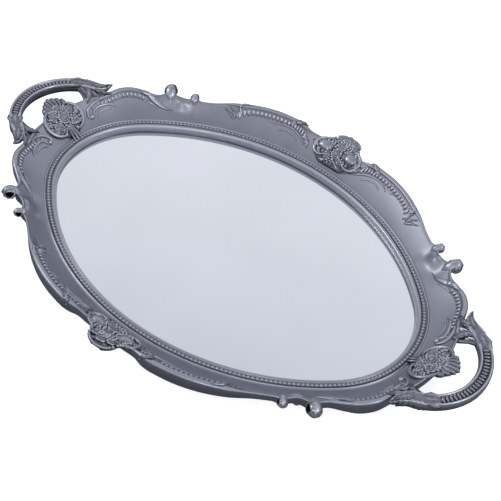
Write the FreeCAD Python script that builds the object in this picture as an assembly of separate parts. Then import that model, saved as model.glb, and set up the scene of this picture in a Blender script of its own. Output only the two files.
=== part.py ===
import FreeCAD, Part
import math
import os

# Oval serving tray: a cast, lobed rim with applied ornament round a mirror glass.
# Millimetres. The floor is z = 0, X runs through the two handles, Y across the tray.

V = FreeCAD.Vector
UP = V(0, 0, 1)
ORIGIN = V(0, 0, 0)

# The bead band's centreline is an oval of four arcs; every offset below is measured from it.
bead_half_length = 183.0
bead_half_width = 131.0
bead_end_radius = 91.0

# Heights of the stacked layers, from the floor up
foot_height = 3.0
base_thickness = 2.0
cushion_thickness = 1.0
glass_thickness = 3.0
bead_crest_height = 16.5

# Bead band and the mirror pocket, as offsets from the bead centreline
bead_radius = 1.9
bead_clearance = 0.15
ridge_rise = 1.3
lip_top_offset = -4.3
lip_foot_offset = -7.0
pocket_offset = -1.5
glass_clearance = 0.5
cushion_inset = 1.5
cushion_gap = 0.05
pocket_wall_offset = 9.0
base_edge_offset = 7.0

# Flared border of the rim
border_start_offset = 4.5
border_slope = 0.62
shell_thickness = 2.5
skirt_bottom = 20.0
skirt_wall = 2.5

# Lobed outline: offsets of the rim's edge from the bead centreline
handle_edge = 28.5
first_lobe_start = 29.5
first_lobe_crown = 33.0
first_lobe_end = 30.0
notch_edge = 23.5
second_lobe_crown = 32.2
second_lobe_end = 30.5
crest_dip = 26.8

# Applied ornament
seat_gap = 0.15
end_crest_reach = 42.5
end_crest_half_width = 22.0
end_crown_half_width = 9.5
end_crest_tip_top = 37.2
side_crest_reach = 44.0
side_crest_half_width = 26.5
side_crown_half_width = 5.6
side_crest_tip_top = 34.5
crest_thickness = 3.5
crest_tip_thickness = 4.0
rose_radius = 7.0
scroll_station = 1.133
leaf_station = 1.25
scroll_reach = 35.2
scroll_radius = 5.5
scroll_half_width = 5.5
scroll_height = 29.0
leaf_reach = 29.8
leaf_half_width = 5.0
scroll_pad_inner = 16.0
scroll_pad_thickness = 2.5

# Handles
grip_reach = 60.1
grip_bend_radius = 51.2
grip_half_width = 6.2
grip_half_height = 5.5
grip_height = 32.7
grip_half_angle = 86.0
root_pad_thickness = 3.2

# Screws, bosses and feet
shank_radius = 1.5
shank_clearance = 0.05
head_radius = 3.0
head_height = 1.6
boss_radius = 3.6
screw_bite = 2.2
base_screw_offset = 3.5
base_screw_length = 7.5
base_screw_count = 12
handle_screw_offset = 26.5
handle_screw_side = 48.0
crest_screw_offset = 20.0
crest_screw_side = 10.0
scroll_screw_offset = 19.5
foot_radius = 9.0
foot_recess_depth = 1.2
foot_recess_clearance = 0.4
foot_screw_bite = 1.6
foot_station = 0.93
foot_offset = -14.0

# ---------------------------------------------------------------- the oval

end_centre = bead_half_length - bead_end_radius
bulge = bead_half_width - bead_end_radius
side_centre = (end_centre ** 2 - bulge ** 2) / (2 * bulge)
side_radius = bead_half_width + side_centre
join_angle = math.degrees(math.atan2(side_centre, end_centre))


def station_angle(station):
    """Direction in degrees at a station: 0 on X, 1 where the arcs join, 2 on Y."""
    if station <= 1:
        return station * join_angle
    return join_angle + (station - 1) * (90 - join_angle)


def station_point(station, offset, height=0.0):
    """Point beside the oval in the first quarter, at a station and an offset."""
    angle = math.radians(station_angle(station))
    if station <= 1:
        reach = bead_end_radius + offset
        return V(end_centre + reach * math.cos(angle), reach * math.sin(angle), height)
    reach = side_radius + offset
    return V(reach * math.cos(angle), reach * math.sin(angle) - side_centre, height)


def end_point(offset, side):
    """Point of an end arc's offset at a given distance from the X axis."""
    reach = bead_end_radius + offset
    return V(end_centre + math.sqrt(reach ** 2 - side ** 2), side, 0)


def oval_ring(section):
    """Carry a face drawn in (offset, height) round the four arcs of the oval."""
    end_sweep = 2 * join_angle
    side_sweep = 180 - end_sweep
    arcs = [
        (V(end_centre, 0, 0), bead_end_radius, -join_angle, end_sweep),
        (V(0, -side_centre, 0), side_radius, join_angle, side_sweep),
        (V(-end_centre, 0, 0), bead_end_radius, 180 - join_angle, end_sweep),
        (V(0, side_centre, 0), side_radius, 180 + join_angle, side_sweep),
    ]
    sectors = []
    for centre, radius, start, sweep in arcs:
        face = section.copy()
        face.translate(V(radius, 0, 0))
        face.rotate(ORIGIN, UP, start)
        sector = face.revolve(ORIGIN, UP, sweep)
        sector.translate(centre)
        sectors.append(sector)
    return sectors[0].multiFuse(sectors[1:]).removeSplitter()


def section(points):
    """Closed face through (offset, height) points."""
    corners = [V(offset, 0, height) for offset, height in points]
    return Part.Face(Part.makePolygon(corners + corners[:1]))


def oval_plate(offset, bottom, top):
    """Flat plate whose edge lies at an offset from the bead centreline."""
    quarter_ends = [station_point(1, offset, bottom), station_point(0, offset, bottom)]
    join, tip = quarter_ends
    crown = station_point(2, offset, bottom)
    edges = [
        Part.Arc(V(join.x, -join.y, bottom), tip, join).toShape(),
        Part.Arc(join, crown, V(-join.x, join.y, bottom)).toShape(),
        Part.Arc(V(-join.x, join.y, bottom), V(-tip.x, 0, bottom), V(-join.x, -join.y, bottom)).toShape(),
        Part.Arc(V(-join.x, -join.y, bottom), V(0, -crown.y, bottom), V(join.x, -join.y, bottom)).toShape(),
    ]
    return Part.Face(Part.Wire(edges)).extrude(V(0, 0, top - bottom))


# ---------------------------------------------------------------- heights

base_bottom = foot_height
base_top = base_bottom + base_thickness
glass_bottom = base_top + cushion_thickness
glass_top = glass_bottom + glass_thickness
bead_height = bead_crest_height - bead_radius
border_start_height = bead_crest_height - ridge_rise


def border_height(offset):
    """Height of the flared border's upper face at an offset."""
    return border_start_height + border_slope * (offset - border_start_offset)


outer_reach = max(end_crest_reach, side_crest_reach) + 6
shell_foot_offset = border_start_offset + (
    skirt_bottom + shell_thickness - border_start_height) / border_slope

# ---------------------------------------------------------------- outlines

# Each arc of the rim's edge in one quarter: start, a point on the way and end,
# given as (station, offset).
edge_arcs = [
    ((0.0, handle_edge), (0.3, handle_edge), (0.58, first_lobe_start)),
    ((0.58, first_lobe_start), (0.79, first_lobe_crown), (1.0, first_lobe_end)),
    ((1.0, first_lobe_end), (1.06, notch_edge + 2.4), (1.14, notch_edge)),
    ((1.14, notch_edge), (1.25, notch_edge - 0.3), (1.36, notch_edge + 0.8)),
    ((1.36, notch_edge + 0.8), (1.59, second_lobe_crown), (1.81, second_lobe_end)),
    ((1.81, second_lobe_end), (1.845, crest_dip + 0.8), (1.9, crest_dip)),
    ((1.9, crest_dip), (1.95, crest_dip), (2.0, crest_dip)),
]


def quarter_turned(point, quarter):
    """Mirror a first-quarter point into quarter 0, 1, 2 or 3."""
    across = -1 if quarter in (1, 2) else 1
    along = -1 if quarter in (2, 3) else 1
    return V(across * point.x, along * point.y, point.z)


def rim_outline(height, growth=0.0):
    """Wire of the rim's lobed edge, grown outwards by a small amount."""
    edges = []
    for quarter in range(4):
        for arc in edge_arcs:
            points = [
                quarter_turned(station_point(station, offset + growth, height), quarter)
                for station, offset in arc
            ]
            edges.append(Part.Arc(*points).toShape())
    return Part.Wire(Part.__sortEdges__(edges))


def upright(wire, height):
    """Solid over a flat wire."""
    return Part.Face(wire).extrude(V(0, 0, height))


def mirrored_outline(half, height):
    """Closed wire of arcs, given for one side of the X axis as (start, way, end) points."""
    edges = []
    for side in (1, -1):
        for arc in half:
            points = [V(x, side * y, height) for x, y in arc]
            if len(points) == 2:
                edges.append(Part.makeLine(*points))
            else:
                edges.append(Part.Arc(*points).toShape())
    return Part.Wire(Part.__sortEdges__(edges))


def rim_envelope(gap):
    """Everything the rim takes up, grown by a gap: what sits on the rim is cut by it."""
    top = section([
        (lip_foot_offset, 0),
        (lip_foot_offset, border_start_height + gap),
        (border_start_offset, border_start_height + gap),
        (outer_reach, border_height(outer_reach) + gap),
        (outer_reach, 0),
    ])
    return oval_ring(top).common(upright(rim_outline(0, gap), 2 * grip_height))


# ---------------------------------------------------------------- screws

def screw(place, seat_height, length):
    """Round-head screw driven upwards: its head lies just under the seat height."""
    head = Part.makeCylinder(head_radius, head_height, V(place.x, place.y, seat_height - head_height))
    shank = Part.makeCylinder(shank_radius, length, V(place.x, place.y, seat_height))
    return head.fuse(shank)


def screw_hole(place, bottom, length):
    """Hole that the shank of such a screw passes through."""
    return Part.makeCylinder(shank_radius + shank_clearance, length, V(place.x, place.y, bottom))


def all_quarters(point):
    return [quarter_turned(point, quarter) for quarter in range(4)]


def side_places(offset, side):
    """Four places beside the Y axis, at an offset from the side arcs."""
    y = math.sqrt((side_radius + offset) ** 2 - side ** 2) - side_centre
    return all_quarters(V(side, y, 0))


handle_screw_places = all_quarters(end_point(handle_screw_offset, handle_screw_side))
end_crest_screw_places = all_quarters(end_point(crest_screw_offset, crest_screw_side))
side_crest_screw_places = side_places(crest_screw_offset, crest_screw_side)
scroll_screw_places = all_quarters(station_point(
    (scroll_station + leaf_station) / 2, scroll_screw_offset))
base_screw_places = []
for step in range(base_screw_count // 4):
    spot = station_point(2 * (step + 0.5) / (base_screw_count / 4), base_screw_offset)
    base_screw_places += all_quarters(spot)
foot_places = all_quarters(station_point(foot_station, foot_offset))

upper_screws = [(place, handle_screw_offset) for place in handle_screw_places]
upper_screws += [(place, crest_screw_offset) for place in end_crest_screw_places]
upper_screws += [(place, crest_screw_offset) for place in side_crest_screw_places]
upper_screws += [(place, scroll_screw_offset) for place in scroll_screw_places]


def upper_screw_length(offset):
    """From the boss's flat foot through the shell and a little way into the ornament."""
    return border_height(offset) - skirt_bottom + screw_bite


# ---------------------------------------------------------------- rim

def make_rim():
    """Cast rim: mirror pocket, bead groove, flared border, skirt and screw bosses."""
    ridge_half = bead_radius + 1.0
    lip_height = bead_crest_height - 0.8
    body = oval_ring(section([
        (lip_foot_offset, glass_top),
        (lip_top_offset, lip_height),
        (-ridge_half, lip_height + 0.3),
        (ridge_half, lip_height + 0.3),
        (border_start_offset, border_start_height),
        (outer_reach, border_height(outer_reach)),
        (outer_reach, skirt_bottom),
        (shell_foot_offset, skirt_bottom),
        (pocket_wall_offset, border_height(pocket_wall_offset) - shell_thickness),
        (pocket_wall_offset, base_top),
        (pocket_offset, base_top),
        (pocket_offset, glass_top),
    ]))
    body = body.common(upright(rim_outline(0), 2 * grip_height))

    groove_circle = Part.makeCircle(bead_radius + bead_clearance, V(0, 0, bead_height), V(0, 1, 0))
    body = body.cut(oval_ring(Part.Face(Part.Wire(groove_circle))))

    hollow = oval_ring(section([
        (shell_foot_offset, skirt_bottom),
        (outer_reach, skirt_bottom),
        (outer_reach, border_height(outer_reach) - shell_thickness),
    ]))
    below = 1.0
    hollow = hollow.fuse(oval_ring(section([
        (shell_foot_offset, skirt_bottom - below),
        (outer_reach, skirt_bottom - below),
        (outer_reach, skirt_bottom),
        (shell_foot_offset, skirt_bottom),
    ])))
    inner = rim_outline(0, -skirt_wall)
    body = body.cut(hollow.common(upright(inner, 2 * grip_height)))

    under_border = oval_ring(section([
        (pocket_wall_offset, 0),
        (pocket_wall_offset, border_height(pocket_wall_offset) - 1),
        (outer_reach, border_height(outer_reach) - 1),
        (outer_reach, 0),
    ])).common(upright(rim_outline(0), 2 * grip_height))
    for place, offset in upper_screws:
        boss = Part.makeCylinder(boss_radius, 2 * grip_height, V(place.x, place.y, skirt_bottom))
        body = body.fuse(boss.common(under_border))
    for place, offset in upper_screws:
        body = body.cut(screw_hole(place, skirt_bottom - 1, upper_screw_length(offset) + 2))
    for place in base_screw_places:
        body = body.cut(screw_hole(place, base_top - 1, base_screw_length - base_thickness + 1.5))
    return body


def make_bead_wire():
    """Beaded wire laid in the groove round the mirror."""
    circle = Part.makeCircle(bead_radius, V(0, 0, bead_height), V(0, 1, 0))
    return oval_ring(Part.Face(Part.Wire(circle)))


# ---------------------------------------------------------------- ornament

def end_frame_layer(profile):
    """Part ring on the right-hand end arc, from a profile in (offset, height)."""
    face = section(profile)
    face.translate(V(bead_end_radius, 0, 0))
    face.rotate(ORIGIN, UP, -join_angle)
    layer = face.revolve(ORIGIN, UP, 2 * join_angle)
    layer.translate(V(end_centre, 0, 0))
    return layer


def side_frame_layer(profile):
    """Part ring on the back side arc, from a profile in (offset, height)."""
    face = section(profile)
    face.translate(V(side_radius, 0, 0))
    face.rotate(ORIGIN, UP, join_angle)
    layer = face.revolve(ORIGIN, UP, 180 - 2 * join_angle)
    layer.translate(V(0, -side_centre, 0))
    return layer


def crest_profile(inner, edge, reach, tip_top, thickness):
    """Section of a crest: it lies on the border, then stands out past the rim's edge."""
    knee = edge + 2
    return [
        (inner, border_height(inner) + seat_gap),
        (edge, border_height(edge) + seat_gap),
        (reach + 2, tip_top - crest_tip_thickness),
        (reach + 2, tip_top),
        (knee, border_height(knee) + thickness),
        (inner + 3, border_height(inner + 3) + seat_gap + thickness),
        (inner, border_height(inner) + seat_gap + 0.4 * thickness),
    ]


def make_end_crest():
    """Bouquet at a handle: it spreads over the border and ends in a scalloped crown."""
    inner = 6.0
    start = bead_half_length
    scallop = 2 * end_crown_half_width / 3
    crown = start + end_crest_reach
    neck = start + handle_edge + 3
    half = [
        ((start + inner, 0), (start + inner + 2.5, 8.5), (start + inner + 8, 14)),
        ((start + inner + 8, 14), (start + 21, end_crest_half_width), (start + 27.5, 17)),
        ((start + 27.5, 17), (neck - 1, 14), (neck, end_crown_half_width + 1.5)),
        ((neck, end_crown_half_width + 1.5), (crown - 1.5, end_crown_half_width)),
        ((crown - 1.5, end_crown_half_width), (crown, scallop), (crown - 1.5, scallop / 2)),
        ((crown - 1.5, scallop / 2), (crown, 0)),
    ]
    layer = end_frame_layer(crest_profile(
        inner, handle_edge, end_crest_reach, end_crest_tip_top, crest_thickness))
    body = layer.common(upright(mirrored_outline(half, 0), 2 * grip_height))
    cut_height = border_height(crest_screw_offset)
    for offset, side in ((17, 7), (17, -7), (24, 0)):
        spot = end_point(offset, side)
        spot.z = border_height(offset) + 1
        body = body.fuse(Part.makeSphere(rose_radius, spot))
    body = body.cut(rim_envelope(seat_gap))
    for place in end_crest_screw_places:
        if place.x > 0:
            body = body.cut(screw_hole(place, cut_height - 2, screw_bite + 2.4))
    return body.Solids[0] if len(body.Solids) == 1 else body


def make_side_crest():
    """Shell and leaf crest in the middle of a long side."""
    inner = 12.0
    start = bead_half_width
    crown = start + side_crest_reach
    half = [
        ((start + inner, 0), (start + inner + 1, 13), (start + 20, side_crest_half_width)),
        ((start + 20, side_crest_half_width), (start + 25.5, 25), (start + crest_dip + 1, 15.3)),
        ((start + crest_dip + 1, 15.3), (start + 35.5, 12), (crown - 0.8, side_crown_half_width)),
        ((crown - 0.8, side_crown_half_width), (crown - 0.2, side_crown_half_width / 2), (crown, 0)),
    ]
    wire = mirrored_outline(half, 0)
    wire.rotate(ORIGIN, UP, 90)
    layer = side_frame_layer(crest_profile(
        inner, crest_dip, side_crest_reach, side_crest_tip_top, crest_thickness))
    body = layer.common(upright(wire, 2 * grip_height))
    for offset, side in ((20, 14), (20, -14), (26, 0)):
        y = math.sqrt((side_radius + offset) ** 2 - side ** 2) - side_centre
        body = body.fuse(Part.makeSphere(0.8 * rose_radius, V(side, y, border_height(offset) + 1)))
    body = body.cut(rim_envelope(seat_gap))
    for place in side_crest_screw_places:
        if place.y > 0:
            hole_bottom = border_height(crest_screw_offset) - 2
            body = body.cut(screw_hole(place, hole_bottom, screw_bite + 2.4))
    return body.Solids[0] if len(body.Solids) == 1 else body


def turned_to(shape, station):
    """Turn a shape drawn along X at the side arc's radius to a station of the side arc."""
    placed = shape.copy()
    placed.rotate(ORIGIN, UP, station_angle(station))
    placed.translate(V(0, -side_centre, 0))
    return placed


def make_scroll():
    """Corner mount in the notch between two lobes: a curled scroll and a small leaf."""
    pad_end = 1.33
    pad_start = scroll_station - 0.055
    pad = section([
        (scroll_pad_inner, border_height(scroll_pad_inner) + seat_gap),
        (notch_edge, border_height(notch_edge) + seat_gap),
        (notch_edge, border_height(notch_edge) + scroll_pad_thickness),
        (scroll_pad_inner + 2, border_height(scroll_pad_inner + 2) + scroll_pad_thickness),
    ])
    pad.translate(V(side_radius, 0, 0))
    pad.rotate(ORIGIN, UP, station_angle(pad_start))
    body = pad.revolve(ORIGIN, UP, station_angle(pad_end) - station_angle(pad_start))
    body.translate(V(0, -side_centre, 0))

    centre_offset = scroll_reach - scroll_radius
    tongue_top = scroll_height + scroll_radius
    tongue_inner = scroll_pad_inner + 3
    inner_height = border_height(tongue_inner) + scroll_pad_thickness
    tongue = section([
        (tongue_inner, inner_height - 2),
        (tongue_inner, inner_height),
        (notch_edge + 1.5, tongue_top - 2),
        (centre_offset, tongue_top),
        (centre_offset, scroll_height - scroll_radius),
    ])
    tongue.translate(V(side_radius, -scroll_half_width, 0))
    tongue = tongue.extrude(V(0, 2 * scroll_half_width, 0))
    curl = Part.makeCylinder(
        scroll_radius, 2 * scroll_half_width,
        V(side_radius + centre_offset, -scroll_half_width, scroll_height), V(0, 1, 0))
    body = body.fuse(turned_to(tongue.fuse(curl), scroll_station))

    leaf_inner = side_radius + notch_edge - 3
    leaf_low = border_height(notch_edge) - 2
    leaf_high = border_height(notch_edge) + scroll_pad_thickness - 1
    leaf_points = [
        V(leaf_inner, -leaf_half_width, leaf_low),
        V(side_radius + leaf_reach, 0, leaf_low),
        V(leaf_inner, leaf_half_width, leaf_low),
    ]
    leaf = Part.Face(Part.makePolygon(leaf_points + leaf_points[:1]))
    leaf = leaf.extrude(V(0, 0, leaf_high - leaf_low))
    body = body.fuse(turned_to(leaf, leaf_station))
    body = body.cut(rim_envelope(seat_gap))
    hole_bottom = border_height(scroll_screw_offset) - 2
    body = body.cut(screw_hole(scroll_screw_places[0], hole_bottom, screw_bite + 2.4))
    return body.Solids[0] if len(body.Solids) == 1 else body


# ---------------------------------------------------------------- handles

def make_handle():
    """Right-hand handle: a bowed grip whose leaf-shaped roots lie on the border."""
    grip_centre = V(bead_half_length + grip_reach - grip_bend_radius, 0, grip_height)
    wide, tall = sorted((grip_half_width, grip_half_height), reverse=True)
    oval = Part.Ellipse(V(0, 0, 0), wide, tall).toShape()
    face = Part.Face(Part.Wire(oval))
    face.rotate(ORIGIN, V(1, 0, 0), 90)
    face.translate(V(grip_bend_radius, 0, 0))
    face.rotate(ORIGIN, UP, -grip_half_angle)
    body = face.revolve(ORIGIN, UP, 2 * grip_half_angle)
    body.translate(grip_centre)

    # Leaf pads: corners at the hole, at the rim's edge and on the border, joined by arcs
    layer = end_frame_layer([
        (10, border_height(10) + seat_gap),
        (outer_reach, border_height(outer_reach) + seat_gap),
        (outer_reach, border_height(outer_reach) + root_pad_thickness),
        (10, border_height(10) + root_pad_thickness),
    ])
    y = handle_screw_side
    hole_corner = end_point(handle_screw_offset + 4, y - 11.5)
    edge_tip = end_point(first_lobe_start - 0.5, y + 11.5)
    field_tip = end_point(handle_screw_offset - 9.5, y - 3.5)
    between_hole_and_edge = end_point(handle_screw_offset + 8, y - 1)
    between_edge_and_field = end_point(handle_screw_offset - 3.5, y + 6)
    between_field_and_hole = end_point(handle_screw_offset - 2, y - 11)
    pad_wire = Part.Wire([
        Part.Arc(hole_corner, between_hole_and_edge, edge_tip).toShape(),
        Part.Arc(edge_tip, between_edge_and_field, field_tip).toShape(),
        Part.Arc(field_tip, between_field_and_hole, hole_corner).toShape(),
    ])
    pad = layer.common(upright(pad_wire, 2 * grip_height))
    body = body.fuse(pad)
    body = body.fuse(pad.mirror(ORIGIN, V(0, 1, 0)))
    body = body.cut(rim_envelope(seat_gap))
    for place in handle_screw_places:
        if place.x > 0:
            hole_bottom = border_height(handle_screw_offset) - 2
            body = body.cut(screw_hole(place, hole_bottom, screw_bite + 2.4))
    return body.Solids[0] if len(body.Solids) == 1 else body


# ---------------------------------------------------------------- glass, base and feet

def make_base():
    """Backing board that closes the mirror pocket from below."""
    board = oval_plate(base_edge_offset, base_bottom, base_top)
    for place in base_screw_places:
        board = board.cut(screw_hole(place, base_bottom - 1, base_thickness + 2))
    for place in foot_places:
        board = board.cut(screw_hole(place, base_bottom - 1, foot_screw_bite + 1.2))
    return board


def make_foot(place):
    """Rubber foot with a recess that takes its screw's head."""
    foot = Part.makeCylinder(foot_radius, foot_height, V(place.x, place.y, 0))
    recess = Part.makeCylinder(
        head_radius + foot_recess_clearance, foot_recess_depth, V(place.x, place.y, 0))
    return foot.cut(recess).cut(screw_hole(place, 0, foot_height))


def foot_screw(place):
    """Low-headed screw that holds a foot: its head lies in the foot's recess."""
    head_thickness = foot_recess_depth - 0.3
    head = Part.makeCylinder(
        head_radius, head_thickness, V(place.x, place.y, foot_recess_depth - head_thickness))
    length = foot_height - foot_recess_depth + foot_screw_bite
    shank = Part.makeCylinder(shank_radius, length, V(place.x, place.y, foot_recess_depth))
    return head.fuse(shank)


def write(name, shape):
    """Write one sub-part after testing that its solids are sound."""
    assert shape.isValid() and shape.Volume > 0, name
    shape.exportStep("parts/" + name + ".step")
    box = shape.BoundBox
    print("%-20s %3d solid(s) %9.1f mm3  z %6.2f to %6.2f  x %7.2f to %7.2f  y %7.2f to %7.2f" % (
        name, len(shape.Solids), shape.Volume, box.ZMin, box.ZMax, box.XMin, box.XMax, box.YMin, box.YMax))


os.makedirs("parts", exist_ok=True)
flip_x = V(1, 0, 0)
flip_y = V(0, 1, 0)

write("rim_frame", make_rim())
write("bead_wire", make_bead_wire())
write("mirror_plate", oval_plate(pocket_offset - glass_clearance, glass_bottom, glass_top))
write("mirror_cushion", oval_plate(
    pocket_offset - cushion_inset, base_top + cushion_gap, glass_bottom - cushion_gap))
write("base_plate", make_base())

handle = make_handle()
write("handle_right", handle)
write("handle_left", handle.mirror(ORIGIN, flip_x))
end_crest = make_end_crest()
write("crest_right", end_crest)
write("crest_left", end_crest.mirror(ORIGIN, flip_x))
side_crest = make_side_crest()
write("crest_back", side_crest)
write("crest_front", side_crest.mirror(ORIGIN, flip_y))

scroll = make_scroll()
write("scroll_back_right", scroll)
write("scroll_back_left", scroll.mirror(ORIGIN, flip_x))
write("scroll_front_right", scroll.mirror(ORIGIN, flip_y))
write("scroll_front_left", scroll.mirror(ORIGIN, flip_x).mirror(ORIGIN, flip_y))

write("base_screws", Part.makeCompound([
    screw(place, base_bottom, base_screw_length) for place in base_screw_places]))
write("handle_screws", Part.makeCompound([
    screw(place, skirt_bottom, upper_screw_length(handle_screw_offset)) for place in handle_screw_places]))
write("crest_screws", Part.makeCompound([
    screw(place, skirt_bottom, upper_screw_length(crest_screw_offset))
    for place in end_crest_screw_places + side_crest_screw_places]))
write("scroll_screws", Part.makeCompound([
    screw(place, skirt_bottom, upper_screw_length(scroll_screw_offset)) for place in scroll_screw_places]))
foot_names = ("foot_back_right", "foot_back_left", "foot_front_left", "foot_front_right")
for name, place in zip(foot_names, foot_places):
    write(name, make_foot(place))
write("foot_screws", Part.makeCompound([foot_screw(place) for place in foot_places]))
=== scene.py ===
import bpy
import numpy as np
from mathutils import Matrix, Vector


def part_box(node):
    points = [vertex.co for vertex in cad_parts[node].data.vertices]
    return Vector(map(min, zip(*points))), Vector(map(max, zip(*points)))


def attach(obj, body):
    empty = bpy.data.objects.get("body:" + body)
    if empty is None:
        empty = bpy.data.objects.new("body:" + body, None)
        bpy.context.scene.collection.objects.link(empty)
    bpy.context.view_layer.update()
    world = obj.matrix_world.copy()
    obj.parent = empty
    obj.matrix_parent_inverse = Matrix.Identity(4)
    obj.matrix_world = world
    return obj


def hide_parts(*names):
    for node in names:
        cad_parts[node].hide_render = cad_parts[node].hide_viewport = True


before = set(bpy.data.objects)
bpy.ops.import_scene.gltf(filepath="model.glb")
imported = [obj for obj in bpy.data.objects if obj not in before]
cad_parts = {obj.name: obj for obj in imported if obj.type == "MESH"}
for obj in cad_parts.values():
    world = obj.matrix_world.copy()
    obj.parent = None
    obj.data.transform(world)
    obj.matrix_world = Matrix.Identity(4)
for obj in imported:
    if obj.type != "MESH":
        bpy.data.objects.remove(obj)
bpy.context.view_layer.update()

# lengths are in millimetres until make_piece turns them to metres
MM = 0.001

# ---------------------------------------------------------------- Rim
# One light-alloy casting with a satin pewter finish: a lip over the glass, a channel for the
# beads, a flared border that ends in a rolled, lobed edge, and a skirt turned down below it.

# the beads lie on an oval of four arcs: end_radius at the ends, side_radius along the sides
bead_radius = 1.9
bead_half_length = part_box("bead_wire")[1].x / MM - bead_radius
bead_half_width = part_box("bead_wire")[1].y / MM - bead_radius
bead_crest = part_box("bead_wire")[1].z / MM
glass_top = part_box("mirror_plate")[1].z / MM
rim_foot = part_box("rim_frame")[0].z / MM
end_radius = 91.0
end_centre = bead_half_length - end_radius
bulge = bead_half_width - end_radius
side_centre = (end_centre ** 2 - bulge ** 2) / (2 * bulge)
side_radius = bead_half_width + side_centre
join_angle = np.arctan2(side_centre, end_centre)

# (station, offset) of the edge: the handle's seat, the first lobe, the notch that holds the
# corner scroll, the second lobe, and the side crest's seat
lobed_edge = [
    (0.0, 28.4), (0.3, 28.4), (0.58, 29.5), (0.79, 32.8), (0.93, 31.8), (1.0, 29.8), (1.06, 26.0),
    (1.14, 23.6), (1.25, 23.2), (1.36, 24.3), (1.46, 28.6), (1.59, 32.0), (1.72, 32.4), (1.81, 30.4),
    (1.845, 27.6), (1.9, 26.8), (2.0, 26.8)]
border_start = 5.2
border_start_height = bead_crest - 1.3
border_slope, border_slope_start = 0.62, 4.5
roll_size, faint_roll, roll_height = 2.7, 0.3, 0.8
scroll_station, curl_station, saddle_station = 1.133, 1.25, 1.1915
scroll_reach, scroll_rise = (5.0, 3.0), (3.4, 2.2, 2.0)
saddle_offset, saddle_height = 17.6, 2.4


def oval(station, offset):
    """Point beside the four-arc oval of the bead band. Station runs 0 to 8 round it: 0 on +X,
    1 where the arcs join, 2 on +Y, and so on, mirrored quarter by quarter. Offset is square to
    the band, outward."""
    quarter = np.floor(station / 2).astype(int) % 4
    part = station - 2 * np.floor(station / 2)
    local = np.where(quarter % 2 == 0, part, 2 - part)
    across = np.where((quarter == 1) | (quarter == 2), -1.0, 1.0)
    along = np.where(quarter >= 2, -1.0, 1.0)
    angle = np.where(local <= 1, local * join_angle,
                     join_angle + (local - 1) * (np.pi / 2 - join_angle))
    reach = np.where(local <= 1, end_radius, side_radius) + offset
    x = np.where(local <= 1, end_centre, 0.0) + reach * np.cos(angle)
    y = np.where(local <= 1, 0.0, -side_centre) + reach * np.sin(angle)
    return across * x, along * y


def folded(station):
    """Station brought back into the first quarter, 0 to 2."""
    part = np.mod(station, 4)
    return np.where(part > 2, 4 - part, part)


def smooth_curve(knots, values, at):
    """Cubic through the knots whose slope at each is that of its neighbours (Hermite form)."""
    knots, values = np.asarray(knots, float), np.asarray(values, float)
    slopes = np.gradient(values, knots, axis=0)
    i = np.clip(np.searchsorted(knots, at) - 1, 0, len(knots) - 2)
    span = knots[i + 1] - knots[i]
    t = (at - knots[i]) / span
    if values.ndim > 1:
        t, span = t[..., None], span[..., None]
    return ((2 * t ** 3 - 3 * t ** 2 + 1) * values[i] + (t ** 3 - 2 * t ** 2 + t) * span * slopes[i]
            + (3 * t ** 2 - 2 * t ** 3) * values[i + 1] + (t ** 3 - t ** 2) * span * slopes[i + 1])


def profile(pairs, at):
    """Smooth curve through (position, value) pairs."""
    return smooth_curve(*zip(*pairs), at)


def smoothstep(low, high, at):
    """0 below low, 1 above high, 3t^2 - 2t^3 between."""
    t = np.clip((at - low) / (high - low), 0, 1)
    return t * t * (3 - 2 * t)


def scroll_swell(station, wide, narrow, between=0.0):
    """Smooth humps along the rim, exp(-x^2): at the corner scroll, at the small curl, and a
    lower one between them."""
    s = folded(station)
    return (wide * np.exp(-((s - scroll_station) / 0.036) ** 2)
            + narrow * np.exp(-((s - curl_station) / 0.022) ** 2)
            + between * np.exp(-((s - saddle_station) / 0.03) ** 2))


def plain_edge(station):
    """Offset of the lobed edge from the bead band's centreline, without the humps."""
    return profile(lobed_edge, folded(station))


def edge_offset(station):
    """Offset of the whole edge: the lobes and the humps that carry the scrolls."""
    return plain_edge(station) + scroll_swell(station, *scroll_reach)


def roll_strength(station):
    """How strongly the edge is rolled: full on the lobes, faint in the notches and at the
    handles."""
    s = folded(station)
    first = smoothstep(0.36, 0.52, s) * (1 - smoothstep(1.0, 1.1, s))
    second = smoothstep(1.38, 1.5, s) * (1 - smoothstep(1.8, 1.86, s))
    return faint_roll + (1 - faint_roll) * np.maximum(first, second)


def strip_width(station):
    """Width of the sloping strip at the foot of the roll, where the gadroons lie."""
    return 1.0 + 3.2 * (roll_strength(station) - faint_roll) / (1 - faint_roll)


def edge_height(station):
    """Height of the roll's crest: it climbs with the border's slope and over the humps."""
    lobes = border_start_height + border_slope * (plain_edge(station) - border_slope_start) + roll_height
    return lobes + scroll_swell(station, *scroll_rise)


def section_marks(station):
    """Where the border's section changes: the offsets of its field's end, of the roll's foot and
    of the edge, then the roll's radius and the height of its centre."""
    edge, radius = edge_offset(station), roll_size * roll_strength(station)
    roll_foot = edge - 2 * radius
    return roll_foot - strip_width(station), roll_foot, edge, radius, edge_height(station) - radius


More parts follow.
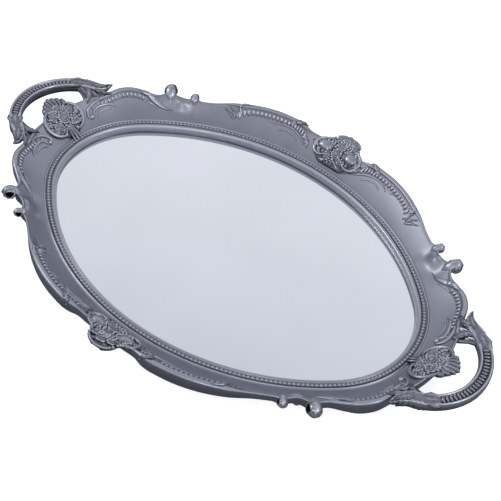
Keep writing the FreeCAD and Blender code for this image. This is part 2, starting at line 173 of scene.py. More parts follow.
def border_top(station, offset):
    """Height of the border: a hollow field rising from the beads, a sloping strip, and a
    half-round roll. The field swells up to the humps and has a low mound between them."""
    field_end, roll_foot, edge, radius, roll_centre = section_marks(station)
    swell = scroll_swell(station, *scroll_rise)
    field_height = roll_centre - 0.95 * strip_width(station) - swell
    u = np.clip((offset - border_start) / (field_end - border_start), 0, 1)
    field = border_start_height + (field_height - border_start_height) * (u + 0.22 * u * (u - 1))
    field = field + swell * smoothstep(0.4, 1.0, u)
    mound = saddle_height * np.exp(-((folded(station) - saddle_station) / 0.034) ** 2
                                   - ((offset - saddle_offset) / 3.8) ** 2)
    field = field + mound * (1 - smoothstep(field_end - 2.5, field_end, offset))
    foot_height = field_height + swell
    slope = foot_height + (roll_centre - foot_height) * smoothstep(field_end, roll_foot, offset)
    roll = roll_centre + np.sqrt(np.clip(radius ** 2 - (offset - edge + radius) ** 2, 0, None))
    return np.where(offset < field_end, field, np.where(offset < roll_foot, slope, roll))


def beside(station, offset, height):
    """Points beside the oval at a height."""
    return np.stack(np.broadcast_arrays(*oval(station, offset), height), -1)


def place(station, offset):
    """Points on the border's surface."""
    return beside(station, offset, border_top(station, offset))


def unit(vectors):
    """Vectors brought to length one."""
    return vectors / np.maximum(np.linalg.norm(vectors, axis=-1, keepdims=True), 1e-12)


def border_normal(station, offset):
    """Upward normal of the border, smoothed over a millimetre either way."""
    along = place(station + 0.008, offset) - place(station - 0.008, offset)
    out = place(station, offset + 1.0) - place(station, offset - 1.0)
    normal = unit(np.cross(out, along))
    return normal * np.sign(normal[..., 2:3] + 1e-9)


def grid_faces(rows, around, looped=False):
    """Quads of a grid of points whose rows are rings, the last row joined to the first if the
    grid is looped."""
    i, j = np.meshgrid(np.arange(rows if looped else rows - 1), np.arange(around), indexing="ij")
    i2, j2 = (i + 1) % rows, (j + 1) % around
    return np.stack([i * around + j, i2 * around + j, i2 * around + j2, i * around + j2], -1).reshape(-1, 4)


# A shape is its points, its quads, its triangles and one shade for each point.


def joined(shapes):
    """One shape from many, with the indices moved on."""
    points, quads, triangles, shades, start = [], [], [], [], 0
    for p, q, t, s in shapes:
        points.append(p)
        quads.append(q + start)
        triangles.append(t + start)
        shades.append(s)
        start += len(p)
    return tuple(np.concatenate(part) for part in (points, quads, triangles, shades))


def turned_outward(shape):
    """Reverse the faces of a closed shape whose signed volume is negative."""
    p, q, t, s = shape
    tris = np.concatenate([q[:, [0, 1, 2]], q[:, [0, 2, 3]], t])
    centred = p - p.mean(0)
    a, b, c = centred[tris[:, 0]], centred[tris[:, 1]], centred[tris[:, 2]]
    if np.einsum("ij,ij->", a, np.cross(b, c)) < 0:
        q, t = q[:, ::-1], t[:, ::-1]
    return p, q, t, s


def ring_shape(points, shades):
    """Closed ring from a grid of points whose rows and columns both come back on themselves."""
    return turned_outward((points.reshape(-1, 3), grid_faces(*points.shape[:2], looped=True),
                           np.zeros((0, 3), int), shades.ravel()))


def mirrored(shape, signs):
    """The shape on the other side of X, of Y or of both."""
    p, q, t, s = shape
    return turned_outward((p * np.array([signs[0], signs[1], 1.0]), q, t, s))


def make_piece(name, shape, material, replaces=()):
    """A mesh object from a shape in millimetres. It rides on the tray, and its shade, 0 in a
    hollow to 1 on a crest, partly patina and partly painted shade and highlight, is kept as a
    point attribute for its material."""
    points, quads, triangles, shades = shape
    mesh = bpy.data.meshes.new(name)
    mesh.vertices.add(len(points))
    mesh.vertices.foreach_set("co", (points * MM).astype(np.float32).ravel())
    face_points = np.concatenate([quads.ravel(), triangles.ravel()]).astype(np.int32)
    mesh.loops.add(len(face_points))
    mesh.loops.foreach_set("vertex_index", face_points)
    starts = np.concatenate([np.arange(len(quads)) * 4, len(quads) * 4 + np.arange(len(triangles)) * 3])
    mesh.polygons.add(len(quads) + len(triangles))
    mesh.polygons.foreach_set("loop_start", starts.astype(np.int32))
    mesh.update(calc_edges=True)
    mesh.polygons.foreach_set("use_smooth", np.ones(len(mesh.polygons), bool))
    mesh.attributes.new("shade", "FLOAT", "POINT").data.foreach_set("value", shades.astype(np.float32))
    mesh.validate()
    piece = bpy.data.objects.new(name, mesh)
    bpy.context.scene.collection.objects.link(piece)
    mesh.materials.append(material)
    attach(piece, "root")
    if replaces:
        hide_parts(*replaces)


def linear(hex_colour):
    """sRGB hex to linear RGBA."""
    srgb = np.array([int(hex_colour[i:i + 2], 16) for i in (1, 3, 5)]) / 255
    rgb = np.where(srgb <= 0.04045, srgb / 12.92, ((srgb + 0.055) / 1.055) ** 2.4)
    return (*rgb, 1.0)


def add_node(tree, kind, inputs=(), **settings):
    """Add a shader node: settings are its own properties, inputs pairs of socket and value or
    link."""
    node = tree.nodes.new(kind)
    for key, value in settings.items():
        setattr(node, key, value)
    for socket, value in inputs:
        if isinstance(value, bpy.types.NodeSocket):
            tree.links.new(value, node.inputs[socket])
        else:
            node.inputs[socket].default_value = value
    return node


def new_material(name):
    """A material with an empty node tree."""
    material = bpy.data.materials.new(name)
    material.use_nodes = True
    material.node_tree.nodes.clear()
    return material, material.node_tree


def colour_steps(ramp, steps):
    """Set a colour ramp from pairs of position and hex colour."""
    elements = ramp.color_ramp.elements
    while len(elements) < len(steps):
        elements.new(0.5)
    for element, (position, colour) in zip(elements, steps):
        element.position = position
        element.color = linear(colour)


def scale_for(size):
    """Texture scale of a pattern whose features are size millimetres apart."""
    return 1 / (size * MM)


def pewter_finish(name, hollow, body, crest, rough):
    """Cast light alloy with an antiqued pewter plating, coloured by the shade attribute: dark in
    the hollows, partly from the plating's patina and partly painted shade, and bright on the
    crests, partly rubbed and partly painted highlight, with a faint orange-peel from the sand
    casting and soft cloudy toning. The orange-peel is really about 0.3 mm apart and is drawn
    coarser so that it shows."""
    material, tree = new_material(name)
    place_node = add_node(tree, "ShaderNodeTexCoord")
    shade = add_node(tree, "ShaderNodeAttribute", attribute_name="shade")
    clouds = add_node(tree, "ShaderNodeTexNoise", [
        ("Vector", place_node.outputs["Object"]), ("Scale", scale_for(35.714)), ("Detail", 4.0),
        ("Roughness", 0.6)])
    grain = add_node(tree, "ShaderNodeTexNoise", [
        ("Vector", place_node.outputs["Object"]), ("Scale", scale_for(1.1111)), ("Detail", 2.0)])
    # colour from the shade attribute, which is patina plus painted shade and highlight, with random cloudy
    # toning
    toning_patina_and_painted_shade = add_node(tree, "ShaderNodeMath", [
        (0, clouds.outputs["Fac"]), (1, 0.22), (2, shade.outputs["Fac"])], operation="MULTIPLY_ADD")
    level = add_node(tree, "ShaderNodeMath", [(0, toning_patina_and_painted_shade.outputs[0]), (1, 0.11)], operation="SUBTRACT")
    colour = add_node(tree, "ShaderNodeValToRGB", [("Fac", level.outputs[0])])
    colour_steps(colour, [(0.0, hollow), (0.5, body), (1.0, crest)])
    roughness = add_node(tree, "ShaderNodeMapRange", [
        ("Value", clouds.outputs["Fac"]), ("From Min", 0.3), ("From Max", 0.7),
        ("To Min", rough - 0.04), ("To Max", rough + 0.05)])
    bump = add_node(tree, "ShaderNodeBump", [
        ("Height", grain.outputs["Fac"]), ("Strength", 0.05), ("Distance", 0.4 * MM)])
    shader = add_node(tree, "ShaderNodeBsdfPrincipled", [
        ("Base Color", colour.outputs["Color"]), ("Metallic", 0.9),
        ("Roughness", roughness.outputs["Result"]), ("Normal", bump.outputs["Normal"])])
    add_node(tree, "ShaderNodeOutputMaterial", [("Surface", shader.outputs["BSDF"])])
    return material


satin_pewter = pewter_finish("satin_pewter_casting", "#5b5d66", "#a4a6b1", "#c2c4cd", 0.4)

# the first quarter's stations, repeated round the ring
first_quarter = np.concatenate([np.linspace(0, 1, 62, endpoint=False),
                                np.linspace(1, 2, 128, endpoint=False)])
ring_stations = np.concatenate([first_quarter, 4 - first_quarter, 4 + first_quarter, 8 - first_quarter])
ring_stations = np.unique(np.round(np.mod(ring_stations, 8), 6))

# (offset, height, shade) of the lip over the glass and of the channel for the beads; the
# shade paints a highlight on the lip's inner slope and shade in the crease at the glass, in the
# groove and in the channel
lip_profile = [
    (-7.0, glass_top + 0.02, 0.0), (-6.85, 10.0, 0.2), (-6.5, 11.6, 0.75), (-6.0, 13.2, 0.95),
    (-5.4, 14.5, 1.0), (-4.8, 15.3, 1.0), (-4.2, 15.65, 0.9), (-3.8, 15.45, 0.5), (-3.6, 15.3, 0.3),
    (-3.4, 15.55, 0.6), (-3.1, 15.75, 0.9), (-2.8, 15.5, 0.5), (-2.5, 15.0, 0.25), (-1.4, 14.6, 0.2),
    (0.0, 14.5, 0.2), (1.4, 14.6, 0.2), (2.5, 15.0, 0.25), (2.8, 15.6, 0.5), (3.1, 15.95, 1.0),
    (3.5, 15.9, 0.9), (3.9, 15.4, 0.4), (4.3, 15.1, 0.3), (4.7, 15.05, 0.4)]
skirt_foot, wall, pocket_wall = 20.4, 2.5, 9.0
field_end, _, edge, radius, roll_centre = section_marks(ring_stations)
rim_lines = []


def add_line(offset, height, shade):
    """One more line of the rim's section, carried all the way round."""
    rim_lines.append(np.broadcast_arrays(offset, height, shade, ring_stations)[:3])


for offset, height, shade in lip_profile:
    add_line(offset, height, shade)
# the hollow field, the sloping strip painted darker as shade, and the roll painted lighter
# towards its top as highlight
for u in np.linspace(0, 1, 20):
    offset = border_start + u * (field_end - border_start)
    add_line(offset, border_top(ring_stations, offset), 0.42 + 0.1 * u)
for u in np.linspace(0.2, 0.9, 4):
    offset = field_end + u * strip_width(ring_stations)
    add_line(offset, border_top(ring_stations, offset), 0.35)
for turn in np.linspace(np.pi, 0, 13):
    lift = np.sin(turn)
    add_line(edge - radius + radius * np.cos(turn), roll_centre + radius * lift,
             0.3 + 0.35 * smoothstep(0.2, 1.0, lift))
# the skirt, down its face and up its back, then the border's underside, all painted dark as
# shade
for drop, inset, shade in ((0.35, 0.05, 0.2), (0.85, 0.5, 0.12), (0.97, 0.75, 0.2), (1.0, 1.3, 0.3)):
    add_line(edge - inset, roll_centre + drop * (skirt_foot - roll_centre), shade)
for drop, inset in ((1.0, 2.2), (0.9, wall), (0.1, wall)):
    add_line(edge - inset, roll_centre - 0.8 + drop * (skirt_foot - roll_centre + 0.8), 0.1)
for u in np.linspace(0.06, 1, 8):
    offset = (edge - wall) + u * (pocket_wall - edge + wall)
    add_line(offset, border_top(ring_stations, offset) - wall - 0.5 * (1 - u), 0.25)
# the wall round the pocket, down to the rim's foot and up to the glass, painted darker as shade
for offset, height in ((pocket_wall, 10.0), (pocket_wall, rim_foot + 0.4), (pocket_wall - 0.4, rim_foot),
                       (-1.1, rim_foot), (-1.5, rim_foot + 0.4), (-1.5, glass_top + 0.02)):
    add_line(offset, height, 0.3)

offsets, heights, shades = np.moveaxis(np.array(rim_lines), 1, 0)
make_piece("rim_casting", ring_shape(beside(ring_stations, offsets, heights), shades), satin_pewter,
           ["rim_frame"])

# ---------------------------------------------------------------- Bead band
# A beaded wire laid in the channel round the glass: egg-shaped beads set across the band,
# pressed on a thin core, in the same plating, painted lighter on their tops as highlight and
# darker below as shade.

bead_count = 276
bead_height = bead_crest - 1.5
bead_out, bead_along, bead_up = 1.55, 1.42, 1.5
core_half_width, core_half_height, core_drop = 1.25, 1.0, 0.35
upward = np.array([0.0, 0.0, 1.0])


def full_turn(count):
    """Angles of a ring of points."""
    return np.arange(count) * 2 * np.pi / count


def capped(rings, shades, pole_shades=(0.2, 0.2), poles=None):
    """Closed shape from rows of points, each row a ring, with a fan of triangles over the first
    row and over the last. A fan meets in the middle of its ring unless its pole is given."""
    rows, around = rings.shape[:2]
    ring = np.arange(around)
    following = (ring + 1) % around
    last_row = (rows - 1) * around
    first_pole = np.full(around, rows * around)
    if poles is None:
        poles = [rings[0].mean(0), rings[-1].mean(0)]
    fans = np.concatenate([np.stack([first_pole, ring, following], -1),
                           np.stack([first_pole + 1, last_row + following, last_row + ring], -1)])
    return turned_outward((np.concatenate([rings.reshape(-1, 3), poles]), grid_faces(rows, around), fans,
                           np.concatenate([shades.ravel(), pole_shades])))


def ellipsoids(centres, long_axes, wide_axes, tall_axes, around=8, rings=3, shade=0.75):
    """Many egg shapes at once: centre + long cos(a) sin(b) + wide sin(a) sin(b) + tall cos(b),
    with a pole above and below, and a shade that grows with cos(b): a painted highlight towards
    the pole above and painted shade towards the one below."""
    b, a = np.meshgrid(np.arange(1, rings + 1) * np.pi / (rings + 1), full_turn(around), indexing="ij")
    weights = np.stack([np.cos(a) * np.sin(b), np.sin(a) * np.sin(b), np.cos(b)], -1)
    weights, quads, triangles, shades = capped(weights, 0.15 + shade * (weights[..., 2] + 1) / 2,
                                               (0.15 + shade, 0.15), [upward, -upward])
    axes = np.stack(np.broadcast_arrays(long_axes, wide_axes, tall_axes), 1)
    points = centres[:, None] + np.einsum("kw,nwc->nkc", weights, axes)
    steps = np.arange(len(centres))[:, None, None] * len(weights)
    return turned_outward((points.reshape(-1, 3), (quads + steps).reshape(-1, 4),
                           (triangles + steps).reshape(-1, 3), np.tile(shades, len(centres))))


def even_stations(count):
    """Stations spaced evenly by length round the oval."""
    fine = np.linspace(0, 8, 4001)
    x, y = oval(fine, 0.0)
    length = np.concatenate([[0], np.cumsum(np.hypot(np.diff(x), np.diff(y)))])
    return np.interp(np.arange(count) / count * length[-1], length, fine)


bead_stations = even_stations(bead_count)
outward = unit(beside(bead_stations, 1.0, 0.0) - beside(bead_stations, 0.0, 0.0))
beads = ellipsoids(beside(bead_stations, 0.0, bead_height), outward * bead_out,
                   np.cross(upward, outward) * bead_along, upward * bead_up, 12, 5, 0.55)
core_stations, core_turns = np.meshgrid(even_stations(360), full_turn(10), indexing="ij")
core_points = beside(core_stations, core_half_width * np.cos(core_turns),
                     bead_height - core_drop + core_half_height * np.sin(core_turns))
# the core between and under the beads is painted darker, as shade
core = ring_shape(core_points, np.full(core_turns.shape, 0.2))
bright_pewter = pewter_finish("pewter_beads_painted_highlight_and_shade", "#74767f", "#a6a8b2", "#c4c6ce", 0.38)
make_piece("bead_band", joined([beads, core]), bright_pewter, ["bead_wire"])

# ---------------------------------------------------------------- Border relief
# Ornament cast with the rim, dark in its hollows from the plating's patina and from painted
# shade, and painted lighter on its crests as highlight: gadroons at the foot of the rolled
# edge, scrolls that curl beside the handles, leaf sprigs and shells that end the lobes.

corners = {"back_right": (1, 1), "back_left": (-1, 1), "front_left": (-1, -1), "front_right": (1, -1)}
# one station is worth about this length along the border
station_length = 90.0


def in_quarters(shapes):
    """First-quarter shapes copied to all four quarters, as one shape."""
    return joined([mirrored(shape, signs) for shape in shapes for signs in corners.values()])


def swept(centres, across, up, half_width, rise, sink, around=12, shade=(0.2, 0.9), bow=0.0):
    """A closed band carried along a path. Each section is centre + across w cos(a) + up r sin(a),
    with r the rise above and the sink below, and a bow that lowers its sides; both ends close in a
    point."""
    count, ring = len(centres), full_turn(around)
    half_width = np.broadcast_to(np.asarray(half_width, float).reshape(count, -1), (count, around))
    rise = np.broadcast_to(np.asarray(rise, float).reshape(count, -1), (count, around))
    lift = np.where(np.sin(ring) > 0, rise * np.sin(ring), sink * np.sin(ring))
    points = (centres[:, None] + across[:, None] * (half_width * np.cos(ring))[..., None]
              + up[:, None] * (lift - bow)[..., None])
    # painted shade and highlight: darker at the foot of each section, lighter up its rise
    shades = shade[0] + (shade[1] - shade[0]) * np.clip(lift / max(rise.max(), 1e-9), 0, 1)
    return capped(points, shades, (shade[0], shade[0]))


def smooth_path(knots, count, scale=1.0):
    """Curve through given knots, spaced by their chords. Scale says what each coordinate
    counts for in a chord."""
    knots = np.asarray(knots, float)
    chords = np.linalg.norm(np.diff(knots * scale, axis=0), axis=1)
    at = np.concatenate([[0], np.cumsum(chords)])
    return smooth_curve(at, knots, np.linspace(0, at[-1], count))


def border_path(knots, count):
    """Points and upward directions of a path given as (station, offset) on the border."""
    station, offset = smooth_path(knots, count, (station_length, 1.0)).T
    return place(station, offset), border_normal(station, offset)


def directions(centres, up):
    """Directions across a path and square up from it, from a rough upward direction."""
    tangents = unit(np.gradient(centres, axis=0))
    across = unit(np.cross(up, tangents))
    return across, unit(np.cross(tangents, across))


def rib(centres, up, half_width, rise, sink, fullness):
    """Half-round rib along a path, its width and its rise following sin(pi u) to a power."""
    body = np.sin(np.pi * np.clip(np.linspace(0, 1, len(centres)), 0.02, 0.98)) ** fullness
    return swept(centres, *directions(centres, up), half_width * body, rise * body, sink)


def veined_leaf(centres, up, half_width, rise, sink, lobes, around, shade):
    """Acanthus leaf along a path: a pointed oval outline cut into lobes, with a raised midrib,
    veins that run out to the lobes, and edges that curl up."""
    u = np.linspace(0, 1, len(centres))
    outline = np.sin(np.pi * np.clip(u, 0.015, 0.985) ** 0.75) ** 0.75
    teeth = 1 - 0.28 * (1 - np.abs(np.sin(np.pi * lobes * u)))
    side = np.abs(np.cos(full_turn(around)))
    midrib = 0.45 * np.exp(-(side / 0.22) ** 2)
    veins = 0.22 * np.cos(2 * np.pi * lobes * (u[:, None] - 0.12 * side)) * smoothstep(0.15, 0.5, side)
    curl = 0.35 * smoothstep(0.55, 0.95, side)
    lift = outline[:, None] * (0.62 + midrib + veins + curl)
    return swept(centres, *directions(centres, up), half_width * outline * teeth, rise * lift, sink,
                 around, shade)


def ridge(knots, half_width, rise, count=28, fullness=0.35):
    """Scroll line on the border."""
    return rib(*border_path(knots, count), half_width, rise, 0.6, fullness)


def leaf(knots, half_width, rise, lobes=4, count=36, around=20):
    """Leaf laid on the border."""
    return veined_leaf(*border_path(knots, count), half_width, rise, 0.6, lobes, around, (0.0, 0.85))


def gadroon_row(start, end, pitch, inset, half_length, half_width, rise, longer=0.0):
    """Row of short rounded bars set square to the edge, from one station to another. The first
    few are longer by longer e^-(s/0.03). Their length follows the slope between two probes."""
    probe, lift = 1.4, 0.15
    fine = np.linspace(start, end, 60)
    row = place(fine, edge_offset(fine) - inset)
    length = np.linalg.norm(np.diff(row, axis=0), axis=1).sum()
    s = np.linspace(start, end, max(2, int(round(length / pitch))))
    extra = longer * np.exp(-(s - start) / 0.03)
    d = edge_offset(s) - inset - 0.9 * extra
    inner, outer = place(s, d - probe), place(s, d + probe)
    long_axis = unit(outer - inner)
    side_axis = unit(place(s + 0.005, d) - place(s - 0.005, d))
    up = unit(np.cross(long_axis, side_axis))
    up = up * np.sign(up[:, 2:3])
    return ellipsoids((inner + outer) / 2 + lift * up, long_axis * (half_length + extra)[:, None],
                      side_axis * half_width, up * rise, 10, 4)


relief = [
    # gadroons of the two lobes, the flutes of the shell, and the small beads by the handle
    gadroon_row(0.52, 1.0, 3.5, 7.4, 3.0, 1.4, 1.35),
    gadroon_row(1.485, 1.75, 3.7, 7.6, 3.0, 1.45, 1.45, 2.6),
    gadroon_row(1.765, 1.825, 2.6, 8.0, 4.2, 1.1, 1.5),
    gadroon_row(0.40, 0.56, 3.1, 8.8, 1.5, 1.2, 1.2),
    # scrolls beside the handle, curling in to a ball near the beads
    ridge([(0.335, 12.0), (0.305, 14.5), (0.325, 18.5), (0.38, 22.0), (0.46, 23.8), (0.54, 23.6)], 1.6, 1.8),
    ridge([(0.345, 15.6), (0.375, 14.2), (0.40, 17.6), (0.46, 19.6), (0.54, 20.2), (0.62, 19.6),
           (0.67, 17.6)], 1.5, 1.6),
    ridge([(0.42, 12.6), (0.46, 15.2), (0.54, 16.8), (0.62, 16.6)], 1.1, 1.1),
    ridge([(0.62, 19.8), (0.645, 22.0), (0.70, 23.4), (0.78, 24.0)], 0.8, 0.9),
    # leaf that ends the first lobe, and its tail
    ridge([(0.94, 27.6), (0.985, 26.6), (1.03, 23.4), (1.062, 19.6), (1.10, 15.6), (1.15, 14.0)], 2.9, 1.7,
          44, 0.85),
    ridge([(0.97, 22.0), (1.01, 20.4), (1.045, 17.4), (1.075, 14.4)], 0.9, 0.9, 28, 0.6),
    # sprig and curl that start the second lobe
    leaf([(1.462, 14.0), (1.435, 18.5), (1.40, 21.8)], 1.7, 1.4, 3, 24, 14),
    leaf([(1.464, 15.0), (1.452, 19.8), (1.428, 23.6)], 1.7, 1.5, 3, 24, 14),
    leaf([(1.47, 16.0), (1.476, 20.6), (1.462, 24.8)], 1.6, 1.5, 3, 24, 14),
    ridge([(1.50, 20.2), (1.482, 22.2), (1.478, 25.0), (1.50, 27.2), (1.53, 27.6)], 1.1, 1.4),
    # leaves and scroll that end the second lobe
    leaf([(1.72, 24.0), (1.765, 26.6), (1.80, 29.6), (1.815, 33.0)], 3.0, 2.2, 5),
    leaf([(1.865, 13.0), (1.85, 17.6), (1.825, 21.2), (1.795, 23.4)], 2.3, 1.8, 4),
    ridge([(1.66, 20.0), (1.70, 22.4), (1.76, 22.0), (1.81, 18.6), (1.845, 14.0)], 1.1, 1.3),
    ridge([(1.69, 17.2), (1.73, 19.0), (1.775, 17.8), (1.80, 14.8)], 0.9, 1.0),
    ridge([(1.61, 23.2), (1.64, 21.6), (1.67, 22.0)], 0.8, 0.9),
]
# the ball that the scrolls curl in to, at one station and offset
ball_at = (np.array([0.347]), np.array([13.6]))
ball_radius, ball_rise, ball_lift = 2.3, 1.9, 0.6
ball_up = border_normal(*ball_at)
ball_side = unit(np.cross(ball_up, [1.0, 0.0, 0.0]))
relief.append(ellipsoids(place(*ball_at) + ball_lift * ball_up, ball_side * ball_radius,
                         np.cross(ball_up, ball_side) * ball_radius, ball_up * ball_rise, 16, 7))
relief_pewter = pewter_finish("pewter_relief_patina_and_painted_shade", "#4e5059", "#9c9eaa", "#cfd0d8", 0.34)
make_piece("border_relief", in_quarters(relief), relief_pewter)

# ---------------------------------------------------------------- Screw bosses
# Round pillars cast under the border, solid metal in the rim's own finish, that take the screws
# of the handles, the crests and the corner scrolls.

boss_foot, boss_radius, boss_cover, boss_sides = 20.0, 3.6, 1.2, 28
handle_screw_offset, handle_screw_side = 26.5, 48.0
crest_offset, crest_screw_side = 20.0, 10.0
scroll_screw_offset = 19.5


def oval_place(x, y):
    """Station and offset of points in the first quarter: the oval's formula turned round."""
    end_angle = np.arctan2(y, x - end_centre)
    side_angle = np.arctan2(y + side_centre, x)
    on_end = end_angle <= join_angle
    station = np.where(on_end, end_angle / join_angle,
                       1 + (side_angle - join_angle) / (np.pi / 2 - join_angle))
    offset = np.where(on_end, np.hypot(x - end_centre, y) - end_radius,
                      np.hypot(x, y + side_centre) - side_radius)
    return station, offset


def boss(x, y):
    """Upright pillar with a rounded foot, its top cut to the border's own slope inside it."""
    ring = full_turn(boss_sides)
    widths = boss_radius * np.array([[0.9], [1.0], [1.0]])
    ring_x, ring_y = x + widths * np.cos(ring), y + widths * np.sin(ring)
    top = border_top(*oval_place(ring_x[2], ring_y[2])) - boss_cover
    heights = np.stack([0 * ring + boss_foot, 0 * ring + boss_foot + 0.5, top])
    top_middle = border_top(*oval_place(x, y)) - boss_cover
    # painted darker than the border's top, as shade under the border
    return capped(np.stack([ring_x, ring_y, heights], -1), np.full(ring_x.shape, 0.3), (0.3, 0.3),
                  [(x, y, boss_foot), (x, y, top_middle)])


def on_arc(radius, side):
    """How far along its axis an arc of a radius is, at a distance beside the axis."""
    return np.sqrt(radius ** 2 - side ** 2)


bosses = [
    boss(end_centre + on_arc(end_radius + handle_screw_offset, handle_screw_side), handle_screw_side),
    boss(end_centre + on_arc(end_radius + crest_offset, crest_screw_side), crest_screw_side),
    boss(crest_screw_side, on_arc(side_radius + crest_offset, crest_screw_side) - side_centre),
    boss(*oval(saddle_station, scroll_screw_offset))]
make_piece("screw_bosses", in_quarters(bosses), satin_pewter)

# ---------------------------------------------------------------- Handles
# Two bow handles cast in the same alloy: a band with a rounded, closed underside and a channel
# on top with a row of cross bars, rings cast round it, and leaves that grip the rim's edge.

grip_centre_x, grip_radius, grip_height = 191.9, 51.2, 32.7
arc_end = 1.16
top_limit = 38.15
# (radial, height) round the band's section, from its outer side over the rails and back
grip_profile = [
    (6.0, 0.0), (5.95, 2.4), (5.4, 4.5), (4.4, 5.25), (3.5, 4.7), (2.7, 3.4), (0.0, 3.1), (-2.7, 3.4),
    (-3.5, 4.7), (-4.4, 5.2), (-5.4, 4.4), (-6.1, 2.2), (-6.1, 0.0), (-5.7, -2.6), (-4.3, -4.7),
    (-2.2, -5.4), (0.0, -5.5), (2.2, -5.4), (4.3, -4.7), (5.6, -2.6), (6.0, 0.0)]


def round_centre(centre_x, reach, angle, height):
    """Points at a reach and an angle from +X about a centre on the X axis."""
    points = (centre_x + reach * np.cos(angle), reach * np.sin(angle), height)
    return np.stack(np.broadcast_arrays(*points), -1)


def round_grip(angle, radial, height):
    """Points carried round the grip's arc, radial and height counted from its centreline."""
    return round_centre(grip_centre_x, grip_radius + radial, angle, grip_height + height)


# the centreline: an arc, then a tail that runs in along the border, on both sides of the middle
arc_part = round_grip(np.linspace(0, arc_end, 70), 0.0, 0.0)
tail_part = smooth_path([
    round_grip(arc_end - 0.06, 0.0, 0.0), round_grip(arc_end, 0.0, 0.0), beside(0.545, 35.6, 32.5),
    beside(0.60, 34.0, 32.6), beside(0.65, 34.4, 33.4), beside(0.69, 35.4, 34.6)], 56)
tail_part = tail_part[np.argmax(tail_part[:, 1] > arc_part[-1, 1] + 0.3):]
half_path = np.concatenate([arc_part, tail_part])
grip_path = np.concatenate([half_path[:0:-1] * np.array([1.0, -1.0, 1.0]), half_path])
path_length = np.concatenate([[0], np.cumsum(np.linalg.norm(np.diff(grip_path, axis=0), axis=1))])
even_length = np.linspace(0, path_length[-1], 420)
grip_path = np.stack([np.interp(even_length, path_length, part) for part in grip_path.T], -1)
from_middle = np.abs(even_length - path_length[-1] / 2)
past_arc = from_middle - grip_radius * arc_end

# the band's size along it: a little fuller in the middle, three rings, and a thinning tail
size = 0.95 + 0.07 * np.exp(-(from_middle / 25) ** 2)
for ring_at, ring_rise, ring_width in ((-9.4, 0.05, 0.7), (-6.4, 0.10, 1.2), (-3.4, 0.05, 0.7)):
    size = size + ring_rise * np.exp(-((past_arc - ring_at) / ring_width) ** 2)
thinning = np.clip(1 - 0.86 * (np.clip(past_arc, 0, None) / past_arc.max()) ** 1.3, 0.12, 1)
size = (size * thinning)[:, None]

# the channel closes into a domed, veined top before the rings
path_out = unit(np.cross(unit(np.gradient(grip_path, axis=0)), upward))
section_at = np.linspace(0, len(grip_profile) - 1, 60, endpoint=False)
section = smooth_curve(np.arange(len(grip_profile)), grip_profile, section_at)
radial, height = section[:, 0] * size, section[:, 1] * size
closing = smoothstep(-22.6, -19.8, past_arc)[:, None]
dome = 4.8 * size * (1 - 0.35 * (radial / (6.2 * size)) ** 2)
veins = 0.35 * np.cos(from_middle * 1.35)[:, None] * smoothstep(-1.0, 3.0, past_arc)[:, None]
# distance from the middle of the channel, on the band's upper side only
from_channel = np.where(section[:, 1] > 0, np.abs(section[:, 0]), np.inf)
height = np.where(from_channel < 4.5, height + closing * (dome + veins - height), height)
height = np.minimum(height, top_limit - grip_path[:, 2:3])
band_points = grip_path[:, None] + path_out[:, None] * radial[..., None] + upward * height[..., None]
# painted shade: lighter towards the band's top and on its veins, darker underneath, darkest in the open
# channel
band_shade = np.clip(0.35 + 0.12 * section[:, 1] + 0.6 * veins, 0, 0.9)
band_shade = np.where(from_channel < 3.0, 0.12 + closing * (0.35 + 0.8 * veins), band_shade)

# the cross bars, laid over the channel's floor between the two rails
bar_count, bar_reach, bar_floor = 22, 0.70, 3.5
bar_half_length, bar_half_width, bar_rise = 2.9, 1.35, 1.2
bar_angles = np.linspace(-bar_reach, bar_reach, bar_count)
bar_out = np.stack([np.cos(bar_angles), np.sin(bar_angles), 0 * bar_angles], -1)
bars = ellipsoids(round_grip(bar_angles, 0.0, bar_floor), bar_out * bar_half_length,
                  np.cross(upward, bar_out) * bar_half_width, upward * bar_rise, 10, 4, 0.5)


def laid_leaf(points, half_width, rise, sink, lobes=4):
    """Leaf along a free path through given points, facing up."""
    return veined_leaf(smooth_path(points, 36), upward, half_width, rise, sink, lobes, 20, (0.05, 0.9))


def closed_grid(top, low, shade):
    """Closed plate from two equal grids of points, one above the other: each row of the top runs
    on into the row below it, turned back, and the first and last rows are capped."""
    # the plate's underside is painted darker, as shade
    return capped(np.concatenate([top, low[:, ::-1]], 1), np.concatenate([shade, 0.2 + 0 * shade], 1))


def root_web():
    """Web that joins the handle's root to the border: rows run from the rim's edge up to the
    grip's inner rail, bow aside between them, and carry the veins of a leaf."""
    thickness = 3.4
    v, u = np.meshgrid(np.linspace(0, 1, 40), np.linspace(0, 1, 30), indexing="ij")
    inner = place(0.35 + 0.25 * v, 25.5 - 1.5 * v) + 0.3 * upward
    outer = round_grip(0.82 + 0.52 * v, -3.4, 3.4)
    flat = inner + (outer - inner) * u[..., None]
    bow = 1.6 * np.sin(np.pi * u) * (1 - v) ** 2
    height = inner[..., 2] + (outer[..., 2] - inner[..., 2]) * smoothstep(0.0, 1.0, u)
    veins = 0.45 * np.sin(2 * np.pi * (3.2 * v + 0.9 * u)) * np.sin(np.pi * u)
    edge_fall = 1.2 * (1 - smoothstep(0.0, 0.12, v))
    top = np.stack([flat[..., 0], flat[..., 1] + bow, height + veins - edge_fall], -1)
    low = top + upward * (edge_fall - veins - thickness)[..., None]
    # painted lighter on the veins' ridges and darker between them, as patina and painted shade
    return closed_grid(top, low, np.clip(0.4 + 0.5 * veins, 0, 1))


def make_castings(shape, material, places):
    """The same ornament casting, mirrored to each of its places: places gives the signs of X and
    Y for the name of each CAD node that it replaces."""
    for node, signs in places.items():
        make_piece(node + "_casting", mirrored(shape, signs), material, [node])


